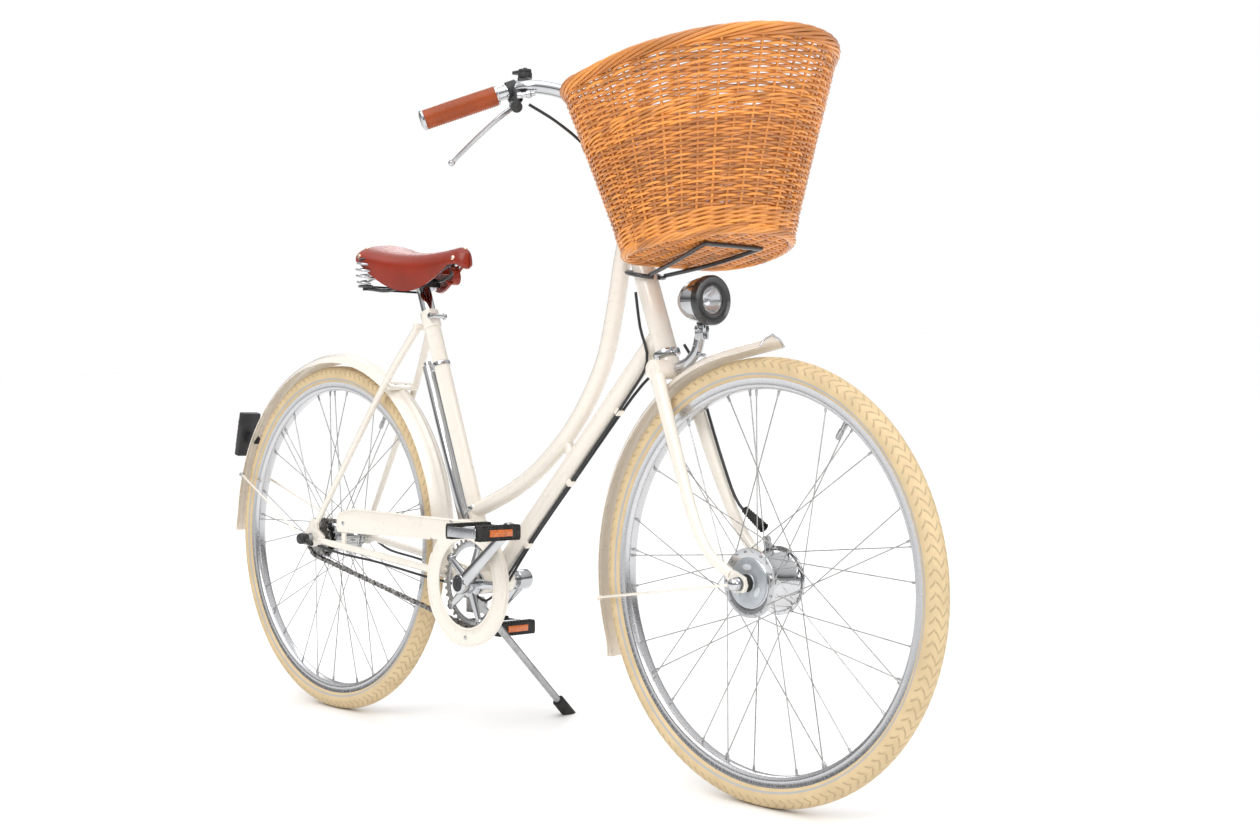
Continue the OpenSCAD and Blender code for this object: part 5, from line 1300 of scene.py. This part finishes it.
class BICYCLE_OT_drive(Step):
    """Chain, cranks with their five-armed spider, and the chain guard's rolled edge"""

    bl_idname = "bicycle.drive"
    bl_label = "Chain and cranks"

    def chain_points(self):
        """Pin places: even steps along two arcs and the two straight runs that touch them."""
        p, q = CRANK_AXLE[[0, 2]], REAR_AXLE[[0, 2]]
        d = np.linalg.norm(q - p)
        tilt = math.asin((RING_PITCH - SPROCKET_PITCH) / d)
        heading = math.atan2(*(q - p)[::-1])
        a = np.linspace(heading + math.pi / 2 - tilt - TAU, heading - math.pi / 2 + tilt, 240)
        b = np.linspace(heading - math.pi / 2 + tilt, heading + math.pi / 2 - tilt, 120)
        line = np.vstack([p + RING_PITCH * np.stack([np.cos(a), np.sin(a)], -1),
                          q + SPROCKET_PITCH * np.stack([np.cos(b), np.sin(b)], -1)])
        line = np.vstack([line, line[:1]])
        run = np.r_[0, np.cumsum(np.linalg.norm(np.diff(line, axis=0), axis=1))]
        links = 2 * round(run[-1] / CHAIN_PITCH / 2)
        at = np.arange(links) / links * run[-1]
        return np.stack([np.interp(at, run, line[:, k]) for k in (0, 1)], -1)

    def chain(self):
        """Each plate is a waisted outline laid from one pin to the next; pins and rollers are short bars."""
        pins = self.chain_points()
        ahead = np.roll(pins, -1, 0) - pins
        length = np.linalg.norm(ahead, axis=1)[:, None]
        d = ahead / length
        n = np.stack([-d[:, 1], d[:, 0]], -1)
        t = np.linspace(0, TAU, 20, endpoint=False)
        half = CHAIN_PITCH / 2
        x = half * np.tanh(2.6 * np.cos(t)) + 3.7 * np.cos(t)
        y = 3.9 * np.sin(t) * (1 - 0.28 * np.exp(-((x / 4.0) ** 2)))
        plates = Shape()
        for side in (-1, 1):
            for layer, (gap, thick) in enumerate(((2.6, 1.0), (3.8, 1.0))):
                pick = np.arange(layer, len(pins), 2)
                middle = (pins + np.roll(pins, -1, 0))[pick] / 2
                flat = middle[:, None] + x[None, :, None] * d[pick, None] + y[None, :, None] * n[pick, None]
                for k in range(len(pick)):
                    outline = np.stack([flat[k, :, 0], np.full(20, -CHAIN_LINE + side * gap), flat[k, :, 1]],
                                       -1)
                    plates.plate(outline, outline.mean(0), thick)
        make(plates, "chain_plates", "frame", finish("chain_steel"), replaces=["chain"], angle=35)
        rollers = Shape()
        for x0, z0 in pins:
            rollers.lathe([x0, -CHAIN_LINE, z0], SIDE, [(0, -5), (1.9, -5), (1.9, -2.2), (3.8, -2.2),
                                                        (3.8, 2.2), (1.9, 2.2), (1.9, 5), (0, 5)], 10)
        make(rollers, "chain_rollers", "frame", finish("chain_steel"), angle=35)

    def crank(self, shape, s):
        """Rounded oval section carried from the axle boss to the pedal eye, slimming on the way."""
        d = CRANK_WAY * (1 if s < 0 else -1)
        y = s * (CRANK_OUT + 5.5)
        t = np.linspace(0, 1, 40)
        outward = y + s * 2.0 * np.sin(math.pi * t / 2)
        path = CRANK_AXLE + d * (CRANK_LENGTH * t)[:, None] + SIDE * outward[:, None]
        wide = 13.5 - 4.4 * t
        shape.tube(path, wide, 28, flat=0.52, ref=SIDE)
        boss = [(0, -19), (16, -19), (17.4, -17.5), (17.4, 6), (16, 8), (12.5, 8.6), (12, 6.6), (0, 6.6)]
        shape.lathe(CRANK_AXLE + SIDE * y, SIDE * s, boss, 56)
        eye = [(0, -6), (11.6, -6), (13, -4.8), (13, 5.2), (11.6, 6.6), (8, 6.8), (7.4, 5.6), (0, 5.6)]
        shape.lathe(CRANK_AXLE + d * CRANK_LENGTH + SIDE * (y + s * 2), SIDE * s, eye, 44)

    def build(self, context):
        self.chain()
        arms = Shape()
        for s in (-1, 1):
            self.crank(arms, s)
        base = math.atan2(CRANK_WAY[2], CRANK_WAY[0])
        for k in range(5):
            a = base + math.radians(36 + 72 * k)
            d = np.array([math.cos(a), 0, math.sin(a)])
            t = np.linspace(0, 1, 16)
            outward = -CHAIN_LINE - 5.6 + 2.4 * t
            path = CRANK_AXLE + d * (12 + (RING_PITCH - 19) * t)[:, None] + SIDE * outward[:, None]
            arms.tube(path, 10 - 3.6 * t, 18, flat=0.5, ref=SIDE)
            arms.lathe(path[-1], -SIDE, [(0, -3), (7.2, -3), (7.2, 2.8), (6.4, 3.6), (0, 3.6)], 28)
        arms.lathe(CRANK_AXLE + SIDE * -CHAIN_LINE, -SIDE,
                   [(8, 1), (24, 1), (24.5, 2.2), (24, 7), (19, 9), (8, 9), (8, 1)], 60)
        make(arms, "crank_arms", "crankset", finish("chrome"), replaces=["cranks"], angle=38)
        bolts = Shape()
        for k in range(5):
            a = base + math.radians(36 + 72 * k)
            spoke_way = np.array([math.cos(a), 0, math.sin(a)])
            at = CRANK_AXLE + (RING_PITCH - 7) * spoke_way - SIDE * (CHAIN_LINE + 6.8)
            bolts.lathe(at, -SIDE,
                        [(0, 0), (2.4, 0.1), (2.6, 1.8), (4.4, 2), (4.8, 1.2), (4.8, -1), (0, -1)], 24)
        make(bolts, "chainring_bolts", "crankset", finish("steel"))
        caps = Shape()
        for s in (-1, 1):
            caps.lathe(CRANK_AXLE + SIDE * s * (CRANK_OUT + 11), SIDE * s,
                       [(0, -1), (11.6, -1), (11.6, 1.8), (10.4, 3), (5, 3.3), (4.4, 2.2), (0, 2.2)], 40)
        make(caps, "crank_dust_caps", "crankset", finish("black_plastic"), angle=30)

        edge = Shape()
        a = np.linspace(0, TAU, 181)[:-1]
        flat = CRANK_AXLE * [1, 0, 1] - SIDE * (GUARD_OUT - 0.2)
        circle = np.stack([np.cos(a), 0 * a, np.sin(a)], -1)
        edge.tube(flat + circle * GUARD_HOLE, 2.2, 12, loop=True)
        p, q = CRANK_AXLE, REAR_AXLE
        near = p + [0, 0, GUARD_RADIUS - 0.5]
        arc = np.linspace(math.radians(90), math.radians(-206), 120)
        outer = p * [1, 0, 1] + GUARD_RADIUS * np.stack([np.cos(arc), 0 * arc, np.sin(arc)], -1)
        edge.tube(outer * [1, 0, 1] - SIDE * (GUARD_OUT - 0.2), 2.0, 12)
        upper = np.array([near, [140, 0, q[2] + 62], [92, 0, q[2] + 53], [87, 0, q[2] + 48],
                          [84, 0, q[2] + 24], [90, 0, q[2] + 18.5], [p[0] - 100, 0, q[2] + 22]])
        upper = upper * [1, 0, 1] - SIDE * (GUARD_OUT - 0.2)
        edge.tube(upper, 2.0, 12, ref=SIDE)
        screws = Shape()
        for at in ([p[0], 0, p[2] - 93], [104, 0, q[2] + 34], [on_seat(113)[0], 0, on_seat(113)[2]]):
            screws.lathe(np.array(at) - SIDE * (GUARD_OUT - 0.4), -SIDE, [(0, 2.6), (1.4, 1.9), (3.6, 1.9),
                                                                          (4.2, 0.8),
                                                                         (4.2, -1), (0, -1)], 24)
        make(edge, "chain_guard_edge", "frame", finish("paint"))
        make(screws, "chain_guard_screws", "frame", finish("chrome"))


class BICYCLE_OT_pedals(Step):
    """Pedals: plated end plates, barrel, ribbed rubber blocks and amber reflectors"""

    bl_idname = "bicycle.pedals"
    bl_label = "Pedals"

    def build(self, context):
        for s, body, node in ((-1, "right_pedal_body", "right_pedal"), (1, "left_pedal_body", "left_pedal")):
            centre = (PEDAL_RIGHT if s < 0 else 2 * CRANK_AXLE - PEDAL_RIGHT) * [1, 0, 1]
            y0 = CRANK_OUT + 16
            y1 = y0 + 92
            name = "right" if s < 0 else "left"
            metal = Shape()
            middle = centre + SIDE * s * (y0 + y1) / 2
            metal.lathe(centre + SIDE * s * (CRANK_OUT + 12), SIDE * s, [(0, -14), (6.9, -14), (6.9, 2),
                                                                         (8.4, 3), (9.6, 5),
                                                                      (9.6, 88), (8.4, 92), (0, 93)], 36)
            for y in (y0 + 2, y1 - 2):
                metal.block(centre + SIDE * s * y, [74, 3, 17])
            for x in (-30, 30):
                metal.lathe(middle + [x, 0, 0], SIDE, rounded_bar(2.6, 47, 0.6), 16)
            make(metal, name + "_pedal_cage", body, finish("alloy"), replaces=[node], bevel=1.1)
            rubber = Shape()
            for x in (-38, 38):
                rubber.block(middle + [x, 0, 0], [17, 84, 19])
                for k in range(12):
                    for z in (-10.6, 10.6):
                        rubber.block(middle + [x, (k - 5.5) * 7.1, z], [16.4, 4.2, 4.4])
            make(rubber, name + "_pedal_rubbers", body, finish("rubber"), bevel=0.8)
            glow = Shape()
            for x in (-47.4, 47.4):
                glow.block(middle + [x, 0, 0], [3.4, 46, 11.5])
            make(glow, name + "_pedal_reflectors", body, finish("amber"), bevel=0.6)


class BICYCLE_OT_trim(Step):
    """Gaiter, pump bands, seat clamp bolt and other small fittings"""

    bl_idname = "bicycle.trim"
    bl_label = "Small fittings"

    def build(self, context):
        chrome, painted = Shape(), Shape()
        clamp = on_seat(497)
        back = unit(np.cross(SEAT_UP, SIDE))
        chrome.lathe(clamp - back * 20, SIDE, rounded_bar(4.6, 15, 1), 24)
        for s in (-1, 1):
            chrome.lathe(clamp - back * 20 + SIDE * s * 16, SIDE, rounded_bar(6.4, 2.4, 0.8), 6)
        for length in (135, 410):
            chrome.lathe(on_seat(length), SEAT_UP, rounded_bar(16.2, 4, 0.8), 40)
        make(chrome, "seat_tube_fittings", "frame", finish("chrome"), bevel=0.3)

        q = REAR_AXLE
        for s in (-1, 1):
            painted.lathe(q + [-14, s * 67.4, -7], SIDE * s,
                          [(0, -3), (4.4, -3), (4.4, 2), (3.4, 3.4), (0, 3.8)], 20)
            a = math.radians(161)
            edge = q + 340 * np.array([math.cos(a), 0, math.sin(a)]) + SIDE * s * 25.6
            painted.lathe(edge, SIDE * s, [(0, -4), (4.6, -4), (4.6, 1.6), (3.4, 3.6), (0, 4)], 20)
        make(painted, "rear_stay_bolts", "frame", finish("chrome"))
        front = Shape()
        for s in (-1, 1):
            a = math.radians(188.5)
            edge = FRONT_AXLE + 340 * np.array([math.cos(a), 0, math.sin(a)]) + SIDE * s * 25.6
            front.lathe(edge, SIDE * s, [(0, -4), (4.6, -4), (4.6, 1.6), (3.4, 3.6), (0, 4)], 20)
            crown = on_steer(647) + SIDE * s * 40
            front.lathe(crown, SIDE * s, [(0, -2), (13.4, -2), (15.2, -0.6), (15.2, 0.8), (12.6, 2.0),
                                          (7, 2.4), (5, 1.6), (0, 1.6)], 40)
        make(front, "fork_fittings", "steering", finish("paint"))

        gaiter = Shape()
        t = np.linspace(0, 1, 61)
        top, low = FRONT_AXLE + [-80, 43.2, 101], FRONT_AXLE + [-41, 43.5, 75]
        path = top + (low - top) * t[:, None]
        gaiter.tube(path, 5.0 + 2.2 * t + 1.1 * np.cos(TAU * 9 * t), 24)
        make(gaiter, "brake_cable_gaiter", "steering", finish("rubber"))
        bolts = Shape()
        bolts.lathe(FRONT_AXLE + [-26, 47, 20], SIDE, rounded_bar(6.4, 3.4, 0.8), 6)
        bolts.lathe(FRONT_AXLE + [-37, 47, 58], SIDE, rounded_bar(5.2, 3.4, 0.8), 6)
        make(bolts, "brake_arm_bolts", "steering", finish("steel"), bevel=0.3)


def cover_grey():
    """Satin grey casting of the hub cover."""
    f = Finish("cover_grey", metallic=0.65)
    f.colour(f.ramp(f.noise(60, 4), (0.3, (0.40, 0.43, 0.46)), (0.7, (0.52, 0.55, 0.58))))
    f.roughness(f.span(f.noise(300, 4), 0.3, 0.7, 0.28, 0.42))
    f.bump(f.noise(900, 3), 0.1, 0.0002)
    return f.material


def recess_grey():
    """Shadowed oval pockets of the cover."""
    f = Finish("recess_grey", metallic=0.5)
    f.colour(f.ramp(f.noise(60, 4), (0.3, (0.62, 0.65, 0.68)), (0.7, (0.72, 0.75, 0.78))))
    f.roughness(f.span(f.noise(300, 4), 0.3, 0.7, 0.3, 0.5))
    f.bump(f.noise(900, 3), 0.1, 0.0002)
    return f.material


def copper():
    """Hammered copper rivets."""
    f = Finish("copper", metallic=1.0)
    f.colour(f.ramp(f.noise(160, 4), (0.3, (0.78, 0.50, 0.36)), (0.7, (0.93, 0.74, 0.60))))
    f.roughness(f.span(f.noise(300, 4), 0.3, 0.7, 0.2, 0.4))
    f.bump(f.noise(500, 3), 0.2, 0.0004)
    return f.material


FINISHES.update(cover_grey=cover_grey, recess_grey=recess_grey, copper=copper)


class BICYCLE_PT_build(bpy.types.Panel):
    """Lists the bicycle's steps and sizes"""

    bl_idname = "BICYCLE_PT_build"
    bl_label = "Bicycle"
    bl_space_type = "VIEW_3D"
    bl_region_type = "UI"
    bl_category = "Bicycle"

    def draw(self, context):
        for name in BicycleLooks.__annotations__:
            self.layout.prop(context.scene.bicycle_looks, name)
        for step in STEPS:
            self.layout.operator(step.bl_idname)


STEPS = (BICYCLE_OT_stage, BICYCLE_OT_metalwork, BICYCLE_OT_wheels, BICYCLE_OT_hubs, BICYCLE_OT_mudguards,
         BICYCLE_OT_basket, BICYCLE_OT_saddle, BICYCLE_OT_handlebar, BICYCLE_OT_lamps, BICYCLE_OT_drive,
         BICYCLE_OT_pedals, BICYCLE_OT_trim)
CLASSES = (BicycleLooks, *STEPS, BICYCLE_PT_build)


def register():
    """Makes the classes and the scene's settings known to Blender."""
    for c in CLASSES:
        bpy.utils.register_class(c)
    bpy.types.Scene.bicycle_looks = bpy.props.PointerProperty(type=BicycleLooks)


def unregister():
    """Takes the classes and settings away again."""
    del bpy.types.Scene.bicycle_looks
    for c in reversed(CLASSES):
        bpy.utils.unregister_class(c)


def main():
    register()
    for step in STEPS:
        group, name = step.bl_idname.split(".")
        getattr(getattr(bpy.ops, group), name)()


if __name__ == "__main__":
    main()
